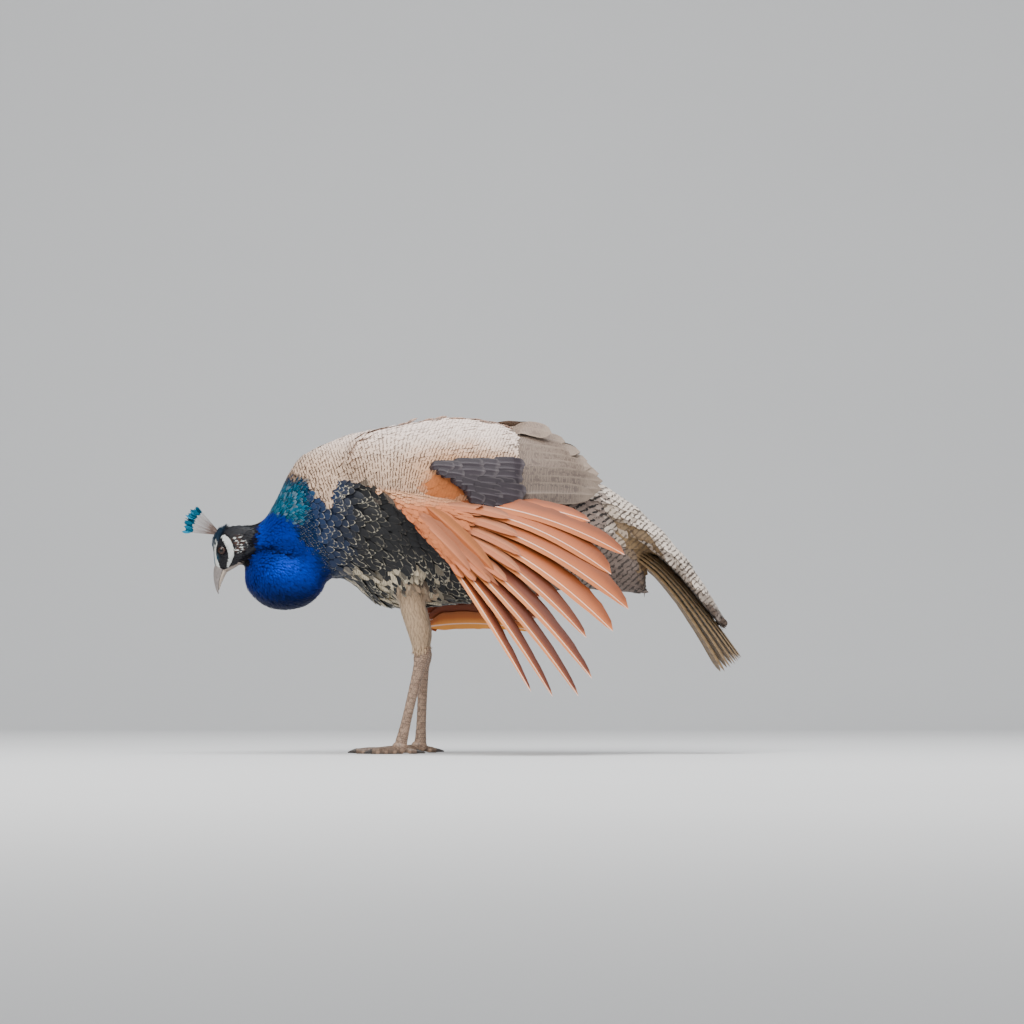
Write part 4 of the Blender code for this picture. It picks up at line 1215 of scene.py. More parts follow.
def coat_back():
    """The mantle, up to its edge and clear of the wing feathers."""
    places = root_places(BODY, lambda p: (tract(p) == MANTLE) & ~under_wing(p) & (p[:, 0] < MANTLE_END - 0.010),
                         0.0048, 41)
    x = places[0][:, 0]
    left = (MANTLE_END - x) / np.maximum(lie_at(places[0])[:, 0], 0.3)
    length = np.minimum(0.014 + 0.009 * ease(-0.20, -0.05, x), left)
    add_coat("coat_back", places, length, 0.0054 * ease(0, 0.012, length), 0.18, 0.11, barred_paint,
             42, ROUND_LEAF, pitch=0.0043, camber=0.04, thick=0.015, blur=0.0015, scatter=0.16)


def coat_rump():
    """Rump, vent and tail coverts, shorter under the tail."""
    places = root_places(BODY, lambda p: (tract(p) == RUMP) & ~under_wing(p) & (p[:, 0] < RUMP_END), 0.0066, 51,
                         lie_at)
    x, _, z = places[0].T
    length = (0.022 + 0.009 * ease(0.15, 0.30, x)) * (1 - 0.45 * ease(0.275, 0.235, z) * ease(0.20, 0.24, x))
    add_coat("coat_rump", places, length, 0.0066, 0.22, 0.14, barred_paint, 52, ROUND_LEAF,
             pitch=0.0066, camber=0.06, thick=0.015, turn=0.16, blur=0.005, scatter=0.15)


def coat_thighs():
    """Fine, hairy feathers."""
    places = root_places(BODY, lambda p: tract(p) == THIGH, 0.0026, 61)
    add_coat("coat_thighs", places, 0.0095, 0.0012, 0.24, 0.12, down_paint, 62, (0, 1, 0.8, 0),
             turn=0.15)


coat_breast()
coat_back()
coat_rump()
coat_thighs()

# %% [markdown]
# ## Flight feathers
#
# A quill is the same shell as a small feather with more points round each ring: a raised shaft, a
# narrow vane in front of it and a wide one behind. The ten primaries fan from the hand. Each one's
# leading vane lies over the trailing vane of the next one out, so every shaft shows as a pale line
# with a dark gap above it, which is partly painted shade on the trailing vane's edge.

# %% Quills


def quill_profile(stations, base, full, taper, point):
    """Half width along a quill, from 0 to 1: it opens until full, stays, and rounds off past taper."""
    u = np.linspace(0, 1, stations)
    opening = base + (1 - base) * ease(0.0, full, u)
    closing = np.clip((u - taper) / (1 - taper), 0, 1)
    return opening * np.maximum(1 - closing ** point, 0) ** 0.6


def quill_paths(root, tip, bow, stations, bow_way=(0.0, 0.0, 1.0)):
    """Centre lines from root to tip, bowed by 4 x bow x u (1 - u) in one direction."""
    u = np.linspace(0, 1, stations)[None, :, None]
    rise = 4 * np.asarray(bow).reshape(-1, 1, 1) * u * (1 - u)
    return root[:, None] * (1 - u) + tip[:, None] * u + rise * np.asarray(bow_way)


def add_quills(name, path, up, lead, trail, tint, mark, paint, slot, seed, profile, shaft=0.85, bars=0.0,
               rim=0.0, pitch=0.006, thick=0.00035, camber=0.08, ring=QUILL_RING, stands_for=(), fray=0.03,
               dusk=0.0, trail_tint=None, mirrored=False):
    """One piece of large feathers. lead and trail are each feather's half widths at its fullest. The
    overlap shade darkens the trailing vane towards its edge: painted shade where the next feather lies over it."""
    draw = np.random.default_rng(seed)
    count, stations = path.shape[:2]
    rough = 1 + fray * draw.normal(0, 1, (2, count, stations))
    rough[:, :, :2] = 1
    width_lead, width_trail = (np.asarray(width, float).reshape(-1, 1) * profile * grain
                               for width, grain in ((lead, rough[0]), (trail, rough[1])))
    u = np.linspace(0, 1, stations)
    stout = np.tile(thick * (1.25 - 0.75 * u), (count, 1))
    points, vane, faces = feather_shells(path, up, width_lead, width_trail, stout, camber, ring)
    luck = draw.random(count)
    across = vane[None, :, 1]
    tint, trail_tint = (np.broadcast_to(colour, (count, 3))[:, None]
                        for colour in (tint, tint if trail_tint is None else trail_tint))
    # The trailing vane is darkened towards its edge: painted shade of the feather that overlaps it
    tone = blend(tint, trail_tint, ease(0.0, 0.12, across)) * (1 - dusk * ease(0.20, 0.80, across))[..., None]
    station = np.rint(vane[:, 0] * (stations - 1)).astype(int)
    half = np.where(across < 0, width_lead[:, station], width_trail[:, station])
    along = vane[None, :, 0] * np.linalg.norm(path[:, -1] - path[:, 0], axis=1)[:, None]
    layers = feather_layers(vane, luck, tone, mark[None, None], np.array([[[bars, rim, shaft]]]),
                            (along / pitch + luck[:, None], along * 1000, np.abs(across) * half * 1000))
    points = points.reshape(-1, 3)
    if mirrored:
        points, faces = points * [1, -1, 1], faces[:, ::-1]
    make_piece(name, points, faces, paint, stands_for, layers, strip_bake(count, vane),
               vane_rim(vane, count))


print("half widths along a tail quill:", np.round(quill_profile(6, 0.5, 0.2, 0.86, 2.4), 2))

# %% [markdown]
# ## The primaries
#
# The near wing droops and is half spread; the far one hangs nearly closed. Both are drawn as left
# wings, in the same terms: where the hand lies, how far each feather falls below level, how long it
# is and how much it bows. The far wing is then mirrored.

# %% Ten primaries on each side
STATIONS = 26
OUT_IN_TEN = np.linspace(0, 1, 10)          # from the innermost primary to the outermost
STACK_STEP = 0.0013                         # from one primary to the next, square to the wing
STACK_TILT = 0.11
NEAR_WING = dict(
    hand=np.array([(0.003, -0.089, 0.350), (0.022, -0.138, 0.279)]),
    fall=np.radians([9, 15.5, 20.7, 26.5, 32.5, 37.2, 44, 49, 54, 58]),
    reach=np.array([0.220, 0.272, 0.258, 0.293, 0.283, 0.252, 0.286, 0.283, 0.254, 0.224]),
    bow=np.array([0.010, 0.020, 0.024, 0.025, 0.023, 0.020, 0.019, 0.016, 0.012, 0.005]),
    outward=(0.05, 0.50))
FAR_WING = dict(
    hand=np.array([(-0.050, -0.117, 0.253), (-0.008, -0.126, 0.178)]),
    fall=np.radians(0.5 * np.arange(10) - 2),
    reach=0.198 - 0.0016 * np.arange(10) ** 1.5,
    bow=np.full(10, 0.008),
    outward=(0.03, 0.16))


def fan_ends(wing):
    """Roots along the hand and tips: reach along a fall below level, and outwards by a growing share."""
    hand, outward = wing["hand"], wing["outward"]
    root = hand[0] + (hand[1] - hand[0]) * OUT_IN_TEN[:, None]
    spread = outward[0] + (outward[1] - outward[0]) * OUT_IN_TEN
    way = np.stack([np.cos(wing["fall"]), -spread, -np.sin(wing["fall"])], -1)
    return root, root + way * wing["reach"][:, None]


def fan_up(root, tip):
    """The outer face of each feather of a fan: square to the feather and to the way to its neighbour."""
    up = unit(np.cross(tip - root, np.gradient((tip + root) / 2, axis=0)))
    return up * -np.sign(up[:, 1:2])


def stacked(path, up):
    """Sets each feather a step further in than the one inside it, and tips its leading edge outwards."""
    order = ((len(path) - 1) / 2 - np.arange(len(path)))[:, None, None]
    path = path + up[:, None] * order * STACK_STEP
    across = unit(np.cross(up[:, None], unit(np.gradient(path, axis=1))))
    return path, unit(up[:, None] + across * STACK_TILT)


def add_primaries(label, wing, lead, trail, tint, trail_tint):
    """The ten primaries of one wing: rounded tips on the inner ones, pointed tips on the outer."""
    root, tip = fan_ends(wing)
    path, up = stacked(quill_paths(root, tip, wing["bow"], STATIONS), fan_up(root, tip))
    u = np.linspace(0, 1, STATIONS)[None]
    innermost, inner = (np.clip(1 - fade * OUT_IN_TEN, 0, 1)[:, None] for fade in (9, 3))
    hidden = inner * (1 - ease(0.15 + 0.20 * innermost, 0.45 + 0.45 * innermost, u))
    path[..., 1] += 0.020 * hidden                # the inner ones leave the wing under the small feathers
    taper = np.interp(OUT_IN_TEN, [0, 0.45, 0.6, 1], [0.80, 0.72, 0.5, 0.38])
    point = np.linspace(2.0, 1.25, 10)
    profile = np.stack([quill_profile(STATIONS, 0.25, 0.16, *tip_form) for tip_form in zip(taper, point)])
    add_quills(f"primaries_{label}", path, up, lead, trail, tint, SHAFT_PINK, flight_paint, "rust_feathers", 71,
               profile, shaft=0.9, stands_for=(f"wing_{label}_primaries",), dusk=0.55, trail_tint=trail_tint,
               mirrored=label == "right")


# The outer primaries' trailing vanes turn a deep brown: painted shade where they lie under their neighbours
add_primaries("left", NEAR_WING, np.linspace(0.0080, 0.0050, 10),
              np.array([0.014, 0.022, 0.028, 0.028, 0.027, 0.023, 0.021, 0.020, 0.018, 0.016]),
              blend(linear(184, 98, 48), linear(204, 124, 64), OUT_IN_TEN),
              blend(linear(170, 86, 38), linear(108, 46, 18), ease(0.42, 0.62, OUT_IN_TEN)))
outermost = ease(0.85, 1.0, OUT_IN_TEN)
add_primaries("right", FAR_WING, 0.0080, np.linspace(0.026, 0.018, 10),
              blend(linear(146, 66, 28), linear(232, 150, 62), outermost),
              blend(linear(128, 52, 22), linear(196, 104, 44), outermost))

# %% [markdown]
# ## The flesh of the hand
#
# The primaries are held by the hand, a thin wedge from the wrist to the wing's point. It is lofted
# from five cuts across it and covered with small feathers of its own on both faces. Their lie
# spreads out from the shoulder like the ribs of a fan.

# %% A wedge for each hand, with its coverts
# each cut: the leading edge's place, the trailing edge's place, and the thickness
LEFT_CUTS = [(-0.084, -0.076, 0.368, 0.090, -0.074, 0.344, 0.008),
             (-0.058, -0.098, 0.355, 0.080, -0.096, 0.336, 0.011),
             (-0.034, -0.118, 0.330, 0.055, -0.120, 0.325, 0.011),
             (-0.008, -0.133, 0.299, 0.045, -0.136, 0.296, 0.010),
             (0.028, -0.148, 0.264, 0.043, -0.147, 0.266, 0.005)]
RIGHT_CUTS = [(-0.100, 0.080, 0.352, 0.070, 0.088, 0.335, 0.008),
              (-0.084, 0.098, 0.322, 0.050, 0.103, 0.312, 0.011),
              (-0.068, 0.111, 0.286, 0.020, 0.117, 0.282, 0.011),
              (-0.042, 0.122, 0.234, 0.002, 0.126, 0.234, 0.010),
              (-0.008, 0.131, 0.180, 0.006, 0.130, 0.184, 0.005)]
HAND_ROWS, HAND_AROUND = 40, 28
SLIM = 0.70                                 # leaves room for the small feathers


def outwards(points, faces):
    """The faces, turned over if together they enclose a negative volume."""
    a, b, c = (points[faces[:, k]] for k in range(3))
    return faces if (a * np.cross(b, c)).sum() > 0 else faces[:, ::-1]


def wedge(cuts, side):
    """A wing section from leading to trailing edge at each cut. Its half thickness is 1.3 sqrt(c) (1 - c)
    x thickness x slim, with c from 0 at the leading edge to 1."""
    table = smooth_rows(cuts, HAND_ROWS)
    lead, trail, thick = table[:, :3], table[:, 3:6], table[:, 6]
    turn = np.linspace(0, 2 * math.pi, HAND_AROUND, endpoint=False)
    chord = (1 - np.cos(turn)) / 2
    height = np.sign(np.sin(turn)) * np.sqrt(chord) * (1 - chord) * 1.3
    centre = lead[:, None] + (trail - lead)[:, None] * (0.03 + 0.94 * chord[None, :, None])
    face = unit(np.cross(trail - lead, np.gradient(lead + trail, axis=0)))
    face = face * np.sign(face[:, 1:2] * side)
    rings = centre + face[:, None] * (height[None, :, None] * thick[:, None, None] * SLIM)
    points = np.concatenate([rings[0].mean(0)[None], rings[-1].mean(0)[None], rings.reshape(-1, 3)])
    return points, outwards(points, shell_faces(HAND_ROWS, HAND_AROUND))


def point_normals(points, faces):
    """Each point's normal: the sum of its faces' normals, made one long."""
    a, b, c = (points[faces[:, k]] for k in range(3))
    normals = np.zeros_like(points)
    for corner in range(3):
        np.add.at(normals, faces[:, corner], np.cross(b - a, c - a))
    return unit(normals)


def hand_markings(points, side):
    """Barred and warm by the shoulder, cinnamon down the hand, pinker at the leading edge."""
    low = 0.345 if side == LEFT else 0.320
    down = 1 - ease(low - 0.012, low + 0.012, points[:, 2] + 0.004 * ripple(points, 0.02))
    tint = blend(blend(BUFF, WARM_BUFF, 0.6), blend(CINNAMON, CINNAMON_PINK, 0.65), down)
    return dict(tint=tint, mark=np.tile(BAR_BROWN, (len(points), 1)), bars=0.75 * (1 - down), rim=0.10 * down,
                shaft=np.zeros(len(points)))


def add_hand(label, side, cuts):
    """The wedge itself and one coat of small feathers over it, pointing away from above the shoulder."""
    points, faces = wedge(cuts, side)
    # The wedge's skin is painted at 0.8 of the hand's markings: painted shade in the gaps between its coverts
    make_piece(f"hand_{label}", points, faces, skin.data.materials[0], (f"wing_{label}_hand",),
               {"tint": with_alpha(hand_markings(points, side)["tint"] * 0.8)})
    surface = points, point_normals(points, faces), faces
    places = root_places(surface, lambda p: np.ones(len(p)), 0.0046, 81 + side)
    root = places[0]
    way = unit(root - np.array(cuts[0][:3]) - [0.02, 0, 0.04])
    add_coat(f"coat_hand_{label}", places, 0.015 + 0.005 * ease(0.0, 0.05, root[:, 0]), 0.0042, 0.12, 0.07,
             barred_paint, 83 + side, ROUND_LEAF, camber=0.06, thick=0.02,
             state=hand_markings(root + way * 0.01, side), way=way, clear=False)


add_hand("left", LEFT, LEFT_CUTS)
add_hand("right", RIGHT, RIGHT_CUTS)

# %% [markdown]
# ## Coverts of the primaries, and the thumb
#
# Each primary has one stiff covert over its root. On the left wing the three thumb feathers lie
# over the outer ones, along the leading edge.

# %% Stiff coverts
COVERT_SHARE = np.array([0.44, 0.40, 0.435, 0.434, 0.484, 0.56, 0.444, 0.36, 0.30, 0.22])    # of a primary
COVERT_LIFT = 0.0042
COVERT_STATIONS = 16


def add_primary_coverts(label, wing):
    """A covert along the first part of each primary but the inner two, standing off the wing's outer face."""
    root, tip = fan_ends(wing)
    up = fan_up(root, tip)
    u = np.linspace(0, 1, COVERT_STATIONS)[None] * COVERT_SHARE[:, None]
    path = root[:, None] + (tip - root)[:, None] * u[..., None]
    path[..., 2] += 4 * wing["bow"][:, None] * u * (1 - u)
    path, up = (part[2:] for part in stacked(path + up[:, None] * COVERT_LIFT, up))
    add_quills(f"primary_coverts_{label}", path, up, 0.0066, 0.0105, blend(CINNAMON, CINNAMON_PINK, 0.3),
               CINNAMON_DEEP, flight_paint, "rust_feathers", 91,
               quill_profile(COVERT_STATIONS, 0.35, 0.25, 0.72, 2.2), shaft=0.30, dusk=0.5, thick=0.0003,
               trail_tint=CINNAMON_PINK, mirrored=label == "right")


add_primary_coverts("left", NEAR_WING)
add_primary_coverts("right", FAR_WING)

THUMB_ROOT = np.array([(-0.004, -0.124, 0.338), (-0.014, -0.124, 0.330), (-0.020, -0.122, 0.327)])
THUMB_TIP = np.array([(0.090, -0.160, 0.247), (0.100, -0.164, 0.218), (0.058, -0.158, 0.248)])
THUMB_FACE = unit(np.array([-0.25, -0.93, -0.10]))
thumb_path = quill_paths(THUMB_ROOT, THUMB_TIP, [0.006, 0.004, 0.003], 20, bow_way=(0.3, -0.9, 0.3))
add_quills("thumb_left", thumb_path, np.tile(THUMB_FACE, (3, 1, 1)), 0.0075, 0.0115,
           np.stack([linear(176, 94, 48), CINNAMON_PINK, CINNAMON_PINK]), CINNAMON_DEEP, flight_paint,
           "rust_feathers", 95, quill_profile(20, 0.35, 0.25, 0.55, 1.7), shaft=0.25, dusk=0.35,
           trail_tint=np.stack([linear(186, 110, 60), linear(188, 114, 78), linear(188, 114, 78)]))

# %% [markdown]
# ## Feathers draped over the back of the wing
#
# The long grey-brown feathers of the folded arm, and the dark rounded coverts over them, lie flat
# along the body. Their centre lines are drawn in side view and dropped onto the skin from the side,
# then lifted by their own height, higher for those that lie on top.

# %% Dropping a side view onto the skin
ARM_STATIONS = 20
SUNK = 0.0042                               # how deep a feather starts under the small ones


def drape(lines, side, height):
    """Side-view lines (feathers, stations, 2) laid on the skin of one side: points and outward normals."""
    path = np.zeros(lines.shape[:2] + (3,))
    face = np.zeros_like(path)
    for row, line in enumerate(lines):
        for spot, (x, z) in enumerate(line):
            hit, normal, _, _ = skin_tree.ray_cast(Vector((x, side * 0.4, z)), Vector((0, -side, 0)))
            path[row, spot] = hit if hit is not None else (x, np.nan, z)
            face[row, spot] = normal if hit is not None else (0, side, 0)
    for row in path:                              # past the skin's outline the last depth carries on
        missed = np.isnan(row[:, 1])
        row[missed, 1] = np.interp(np.flatnonzero(missed), np.flatnonzero(~missed), row[~missed, 1])
    face = unit(unit(face).cumsum(1) + 1e-6)      # the mean of the normals so far: no sudden turn
    return path + face * height[:, :, None], face


def side_lines(root, tip, bow):
    """Side-view lines from root to tip, bowed upwards by 4 x bow x u (1 - u)."""
    u = np.linspace(0, 1, ARM_STATIONS)[None, :, None]
    return root[:, None] * (1 - u) + tip[:, None] * u + 4 * bow * u * (1 - u) * np.array([0.0, 1.0])


def add_arm_feathers(name, side, root, tip, bow, top, half, tint, mark, seed, profile, out=0.1, pitch=0.0016,
                     **looks):
    """Feathers draped on one side. Each lies at its own top height above the skin, and is sunk until it has
    come out from under the small feathers, at a share out of its length."""
    u = np.linspace(0, 1, ARM_STATIONS)[None]
    out = np.broadcast_to(out, len(root))[:, None]
    height = top[:, None] * (0.25 + 0.75 * ease(out - 0.12, out + 0.10, u)) - SUNK * ease(out, out - 0.12, u)
    path, face = drape(side_lines(root, tip, bow), side, height)
    add_quills(name, path, face, half, half, tint, mark, flight_paint, "grey_flight_feathers", seed, profile,
               pitch=pitch, camber=0.06, fray=0.02, **looks)


def share_at(place, root, tip):
    """The share of each feather's length at which it passes a place along the bird."""
    return (place - root[:, 0]) / (tip[:, 0] - root[:, 0])


# %% [markdown]
# On the left only the upper long feathers show, above the drooped hand. On the right the whole arm
# is folded, so its feathers reach down to the belly.

# %% The long feathers of the arm
ARM_TIP = quill_profile(ARM_STATIONS, 0.5, 0.25, 0.74, 2.2)
LEFT_TIPS = np.array([(0.168, 0.4390), (0.186, 0.4270), (0.2065, 0.4120), (0.2165, 0.4010), (0.2220, 0.3925),
                      (0.2320, 0.3830), (0.2370, 0.3730), (0.2350, 0.3620), (0.2250, 0.3540)])
LEFT_TOP = np.array([0.0080, 0.0086, 0.0084, 0.0080, 0.0082, 0.0090, 0.0104, 0.0122, 0.0140])
left_roots = np.stack([np.linspace(0.060, 0.045, 9), np.linspace(0.449, 0.352, 9)], -1)
left_grey = blend(linear(110, 92, 80), linear(92, 80, 74), OUT_IN_TEN[:9])
add_arm_feathers("secondaries_left", LEFT, left_roots, LEFT_TIPS, 0.004, LEFT_TOP, 0.0150, left_grey,
                 GREY_LINE, 101, ARM_TIP, share_at(MANTLE_END, left_roots, LEFT_TIPS), pitch=0.0021,
                 stands_for=("wing_left_secondaries",), bars=0.55, rim=0.4, shaft=0.5, dusk=0.12)

RIGHT_TIPS = np.array([(0.168, 0.4390), (0.2065, 0.4120), (0.2320, 0.3830), (0.2430, 0.3550), (0.2430, 0.3280),
                       (0.2380, 0.3040), (0.2250, 0.2840), (0.2050, 0.2700), (0.1780, 0.2620), (0.1500, 0.2600),
                       (0.1200, 0.2620)])
RIGHT_TOP = np.linspace(0.0088, 0.0062, 11)
right_roots = np.stack([np.linspace(0.060, -0.035, 11), np.linspace(0.449, 0.320, 11)], -1)
add_arm_feathers("secondaries_right", RIGHT, right_roots, RIGHT_TIPS, 0.004, RIGHT_TOP, 0.0165,
                 linear(98, 82, 70), GREY_LINE, 102, ARM_TIP, share_at(0.100, right_roots, RIGHT_TIPS),
                 stands_for=("wing_right_secondaries",), bars=0.3, rim=0.4, shaft=0.5, dusk=0.12)

# %% [markdown]
# The dark coverts lie in five rows, shorter towards the front, where they come out from under the
# orange patch. Those at the bottom stand further out, over the roots of the primaries.

# %% The dark coverts
DARK_ROWS = [  # where a row's tips stand along the bird, its highest and lowest tip, and how many there are
    (0.1240, 0.3950, 0.3400, 7), (0.0980, 0.3935, 0.3400, 7), (0.0730, 0.3920, 0.3450, 6),
    (0.0500, 0.3900, 0.3700, 3), (0.0300, 0.3880, 0.3820, 2)]
DARK_FRONT = np.array([  # height, and where the coverts begin along the bird at that height
    (0.340, 0.054), (0.350, 0.050), (0.362, 0.042), (0.372, 0.028), (0.385, 0.004), (0.395, -0.004)])
DARK_LENGTH = 0.046
dark_tips = np.concatenate([np.stack([np.full(count, x), np.linspace(high, low, count)], -1)
                            for x, high, low, count in DARK_ROWS])
dark_tips += np.random.default_rng(31).uniform(-1, 1, dark_tips.shape) * [0.0060, 0.0016]
dark_rank = np.concatenate([np.full(row[3], place) for place, row in enumerate(DARK_ROWS)])
tip_x, tip_z = dark_tips.T
dark_roots = np.stack([np.maximum(tip_x - DARK_LENGTH, np.interp(tip_z, *DARK_FRONT.T)),
                       tip_z - 0.10 * (tip_z - 0.400)], -1)
dark_top = 0.0105 + 0.0006 * dark_rank + 0.0090 * ease(0.372, 0.345, tip_z)
for label, side in SIDES.items():
    add_arm_feathers(f"dark_coverts_{label}", side, dark_roots, dark_tips, 0.002, dark_top,
                     0.0092 - 0.0007 * dark_rank, DARK_COVERT, linear(120, 112, 112), 103 + side,
                     quill_profile(ARM_STATIONS, 0.5, 0.2, 0.80, 2.6), bars=0.0, rim=0.25, shaft=0.12,
                     dusk=0.25)

# %% [markdown]
# ## Tail
#
# The tail's twelve brown quills fan out under the barred coverts.

# %% Tail quills
# the middle quills' line in side view
TAIL_LINE = np.array([(0.270, 0.293), (0.315, 0.265), (0.352, 0.229), (0.384, 0.190), (0.410, 0.156),
                      (0.4325, 0.125)])
TAIL_LEAN = 0.25
TAIL_HALF = 0.0120


def add_tail():
    """Twelve quills across the fan: the further out, the shorter and the lower, and the more its upper side
    leans outwards."""
    side = np.linspace(-1, 1, 12)[:, None]
    line = smooth_rows(TAIL_LINE, STATIONS)[None]
    u = np.linspace(0, 1, STATIONS)[None]
    path = np.stack([line[..., 0] - 0.026 * side ** 2 * u, side * (0.020 + 0.040 * u),
                     line[..., 1] - 0.012 * side ** 2 + 0.0085 * (1 - np.abs(side))], -1)
    up = unit(unit(np.cross(np.gradient(path, axis=1), ACROSS)) + TAIL_LEAN * side[..., None] * ACROSS)
    up = up * np.sign(up[..., 2:3])
    add_quills("tail_quills", path, up, TAIL_HALF, TAIL_HALF, TAIL_BROWN, RUMP_DARK, flight_paint,
               "tail_plumage", 111, quill_profile(STATIONS, 0.5, 0.2, 0.86, 2.4), shaft=0.6, bars=0.30,
               pitch=0.013, stands_for=("tail_feathers",), dusk=0.25)


add_tail()

# %% [markdown]
# ## Crest
#
# Some two dozen bare quills stand on the crown like a fan, each with a small teal blade at its tip.

# %% Crest plumes
CREST_COUNT = 23
CREST_LENGTH = 0.053
CREST_SPREAD = math.radians(44)
BLADE = np.array([0, 0.35, 0.75, 0.95, 1.0, 0.9, 0.55, 0])


def add_crest():
    """Quills from one root on the crown, turned from front to back and a little to each side."""
    share = np.linspace(-0.5, 0.5, CREST_COUNT)
    draw = np.random.default_rng(121)
    turn = CREST_SPREAD * share
    lean = 0.055 * np.where(np.arange(CREST_COUNT) % 2, 1, -1) * draw.uniform(0.3, 1, CREST_COUNT)
    way = UPWARD * np.cos(turn)[:, None] + FORWARD * np.sin(turn)[:, None] + ACROSS * lean[:, None]
    foot = on_head(-0.019 + 0.006 * np.sin(turn), 0.0165)
    length = CREST_LENGTH * (1 - 0.11 * draw.random(CREST_COUNT) - 0.08 * np.abs(share))
    up = unit(0.5 * draw.normal(0, 1, (CREST_COUNT, 3)) - ACROSS)[:, None]

    def lines(u):
        return foot[:, None] + way[:, None] * length[:, None, None] * u[None, :, None]

    u = np.linspace(-0.10, 1, 12)[:10]            # from under the skin to inside the blade
    add_quills("crest_quills", lines(u), up, 1, 1, linear(118, 100, 92), linear(90, 74, 68), flight_paint,
               "crest_feathers", 122, np.interp(u, [-0.10, 0.67, 1], [0.00042, 0.00030, 0.0002]), shaft=0.0,
               thick=0.00028, camber=0.0, ring=LEAF_RING, fray=0.0, stands_for=("crest",))
    u = np.linspace(0.72, 1, len(BLADE))
    add_quills("crest_blades", lines(u), up, 0.0023, 0.0023, TEAL * 0.7, DARK_FACE, blue_paint,
               "crest_feathers", 123, BLADE, shaft=0.3, thick=0.00018, camber=0.1, ring=LEAF_RING, fray=0.08)


add_crest()

# %% [markdown]
# ## Bill
#
# Horn, in two halves. Each half is a row of rings from the face to the tip: a dome with a flat
# underside above, and a shallow keel below. The nostril is a slit under a small lid.

# %% Both halves of the bill
BILL_LENGTH = 0.032
BILL_START = 0.0238
# six cuts from inside the face to the tip, in the head's frame
BILL_AHEAD = BILL_START + BILL_LENGTH * np.array([-0.16, 0, 0.25, 0.55, 0.85, 1.0])
BILL_TOP = (-0.0020, 0.0004, -0.0020, -0.0074, -0.0152, -0.0208)
BILL_EDGE = (-0.0120, -0.0125, -0.0134, -0.0156, -0.0194, -0.0226)
BILL_CHIN = (-0.0170, -0.0190, -0.0190, -0.0194, -0.0208, -0.0226)
BILL_WIDTH = (0.0060, 0.0086, 0.0078, 0.0062, 0.0038, 0.0008)


NOSTRIL_AHEAD = BILL_START + 0.0085
GRAIN = (2.2, 2.2, 0.5)                     # stretches the horn's mottling along the bill
BILL_ROWS, BILL_AROUND = 30, 32


def horny_paint(name, tint, mark, scale, roughness, bump, stretch=(1, 1, 1), plated=False):
    """Two colours mottled by noise on the object's own coordinates, with the same noise as bump. Where the
    piece has plates, the colour is multiplied by the tint of its points, which is painted shade in the grooves."""
    paint, tree, surface = new_paint(name, Roughness=roughness)
    place = shader_node(tree, "ShaderNodeMapping", shader_node(tree, "ShaderNodeTexCoord").outputs["Object"])
    place.inputs["Scale"].default_value = stretch
    noise = shader_node(tree, "ShaderNodeTexNoise", place.outputs[0], None, scale, 5.0).outputs["Fac"]
    share = shader_node(tree, "ShaderNodeMapRange", noise, 0.35, 0.68, 0.0, 1.0).outputs[0]
    colour = mixed(tree, share, (*tint, 1), (*mark, 1))
    if plated:
        groove = layer_of(tree, "tint", "Color")
        colour = shader_node(tree, "ShaderNodeVectorMath", colour, groove, operation="MULTIPLY").outputs[0]
    surfaced(tree, surface, colour, noise, bump, 0.0003)
    return paint


def half_bill(name, rows, roof, paint, node):
    """Rings along one half. roof is 1 where the dome is on top and -1 where it hangs below. Each row is the
    place along the bill, the dome's height, the height of the edge, and the half width."""
    ahead, far, edge, width = smooth_rows(rows, BILL_ROWS).T
    turn = np.linspace(0, 2 * math.pi, BILL_AROUND, endpoint=False)
    rise = np.sin(turn)
    domed = np.where(rise * roof > 0, np.abs(rise) ** 0.85, -0.10 * np.abs(rise)) * roof
    height = np.abs(far - edge)[:, None] * domed[None]
    aside = width[:, None] * np.sign(np.cos(turn)) * np.abs(np.cos(turn)) ** 0.9
    if roof > 0:
        past = ahead[:, None] - NOSTRIL_AHEAD
        slit = np.exp(-(past / 0.0028) ** 2 - ((height - 0.0062) / 0.0012) ** 2)
        hood = np.exp(-((past + 0.0005) / 0.0038) ** 2 - ((height - 0.0083) / 0.0016) ** 2)
        aside = aside * (1 - 0.34 * slit + 0.09 * hood)
    rings = on_head(ahead[:, None], edge[:, None] + height, aside)
    ends = on_head(ahead[[0, -1]], (edge + (far - edge) * 0.4)[[0, -1]])
    points = np.concatenate([ends, rings.reshape(-1, 3)])
    make_piece(name, points, outwards(points, shell_faces(BILL_ROWS, BILL_AROUND)), paint, (node,))


horn_paint = horny_paint("horn", linear(134, 126, 122), linear(112, 104, 100), 420.0, 0.40, 0.10, GRAIN)
pale_paint = horny_paint("pale_horn", linear(186, 170, 152), linear(160, 146, 132), 420.0, 0.42, 0.10, GRAIN)
upper_rows = np.stack([BILL_AHEAD, BILL_TOP, BILL_EDGE, BILL_WIDTH], -1)
lower_rows = np.stack([BILL_AHEAD, BILL_CHIN, np.subtract(BILL_EDGE, 0.0009), np.multiply(BILL_WIDTH, 0.9)], -1)
half_bill("upper_bill", upper_rows, 1, horn_paint, "bill_upper")
half_bill("lower_bill", lower_rows[:5], -1, pale_paint, "bill_lower")    # it ends short of the tip

# %% [markdown]
# ## Eyes
#
# A dark brown iris round a black pupil, under a wet clear front. The eye is a fine ball with its
# pole at the front, and the colour is a matter of how far a point lies from that pole.

# %% Eyeballs
EYE_ROWS, EYE_AROUND = 32, 40
PUPIL_EDGE, IRIS_EDGE = 19, 44              # degrees from the pole


def eye_paint():
    """Pupil, iris and dark rim by the point's own tint, with a wet coat."""
    paint, tree, surface = new_paint("eye", Roughness=0.15, Specular_IOR_Level=0.20, Coat_Weight=0.25,
                                     Coat_Roughness=0.03)
    tree.links.new(layer_of(tree, "tint", "Color"), surface.inputs["Base Color"])
    return paint


wet_paint = eye_paint()


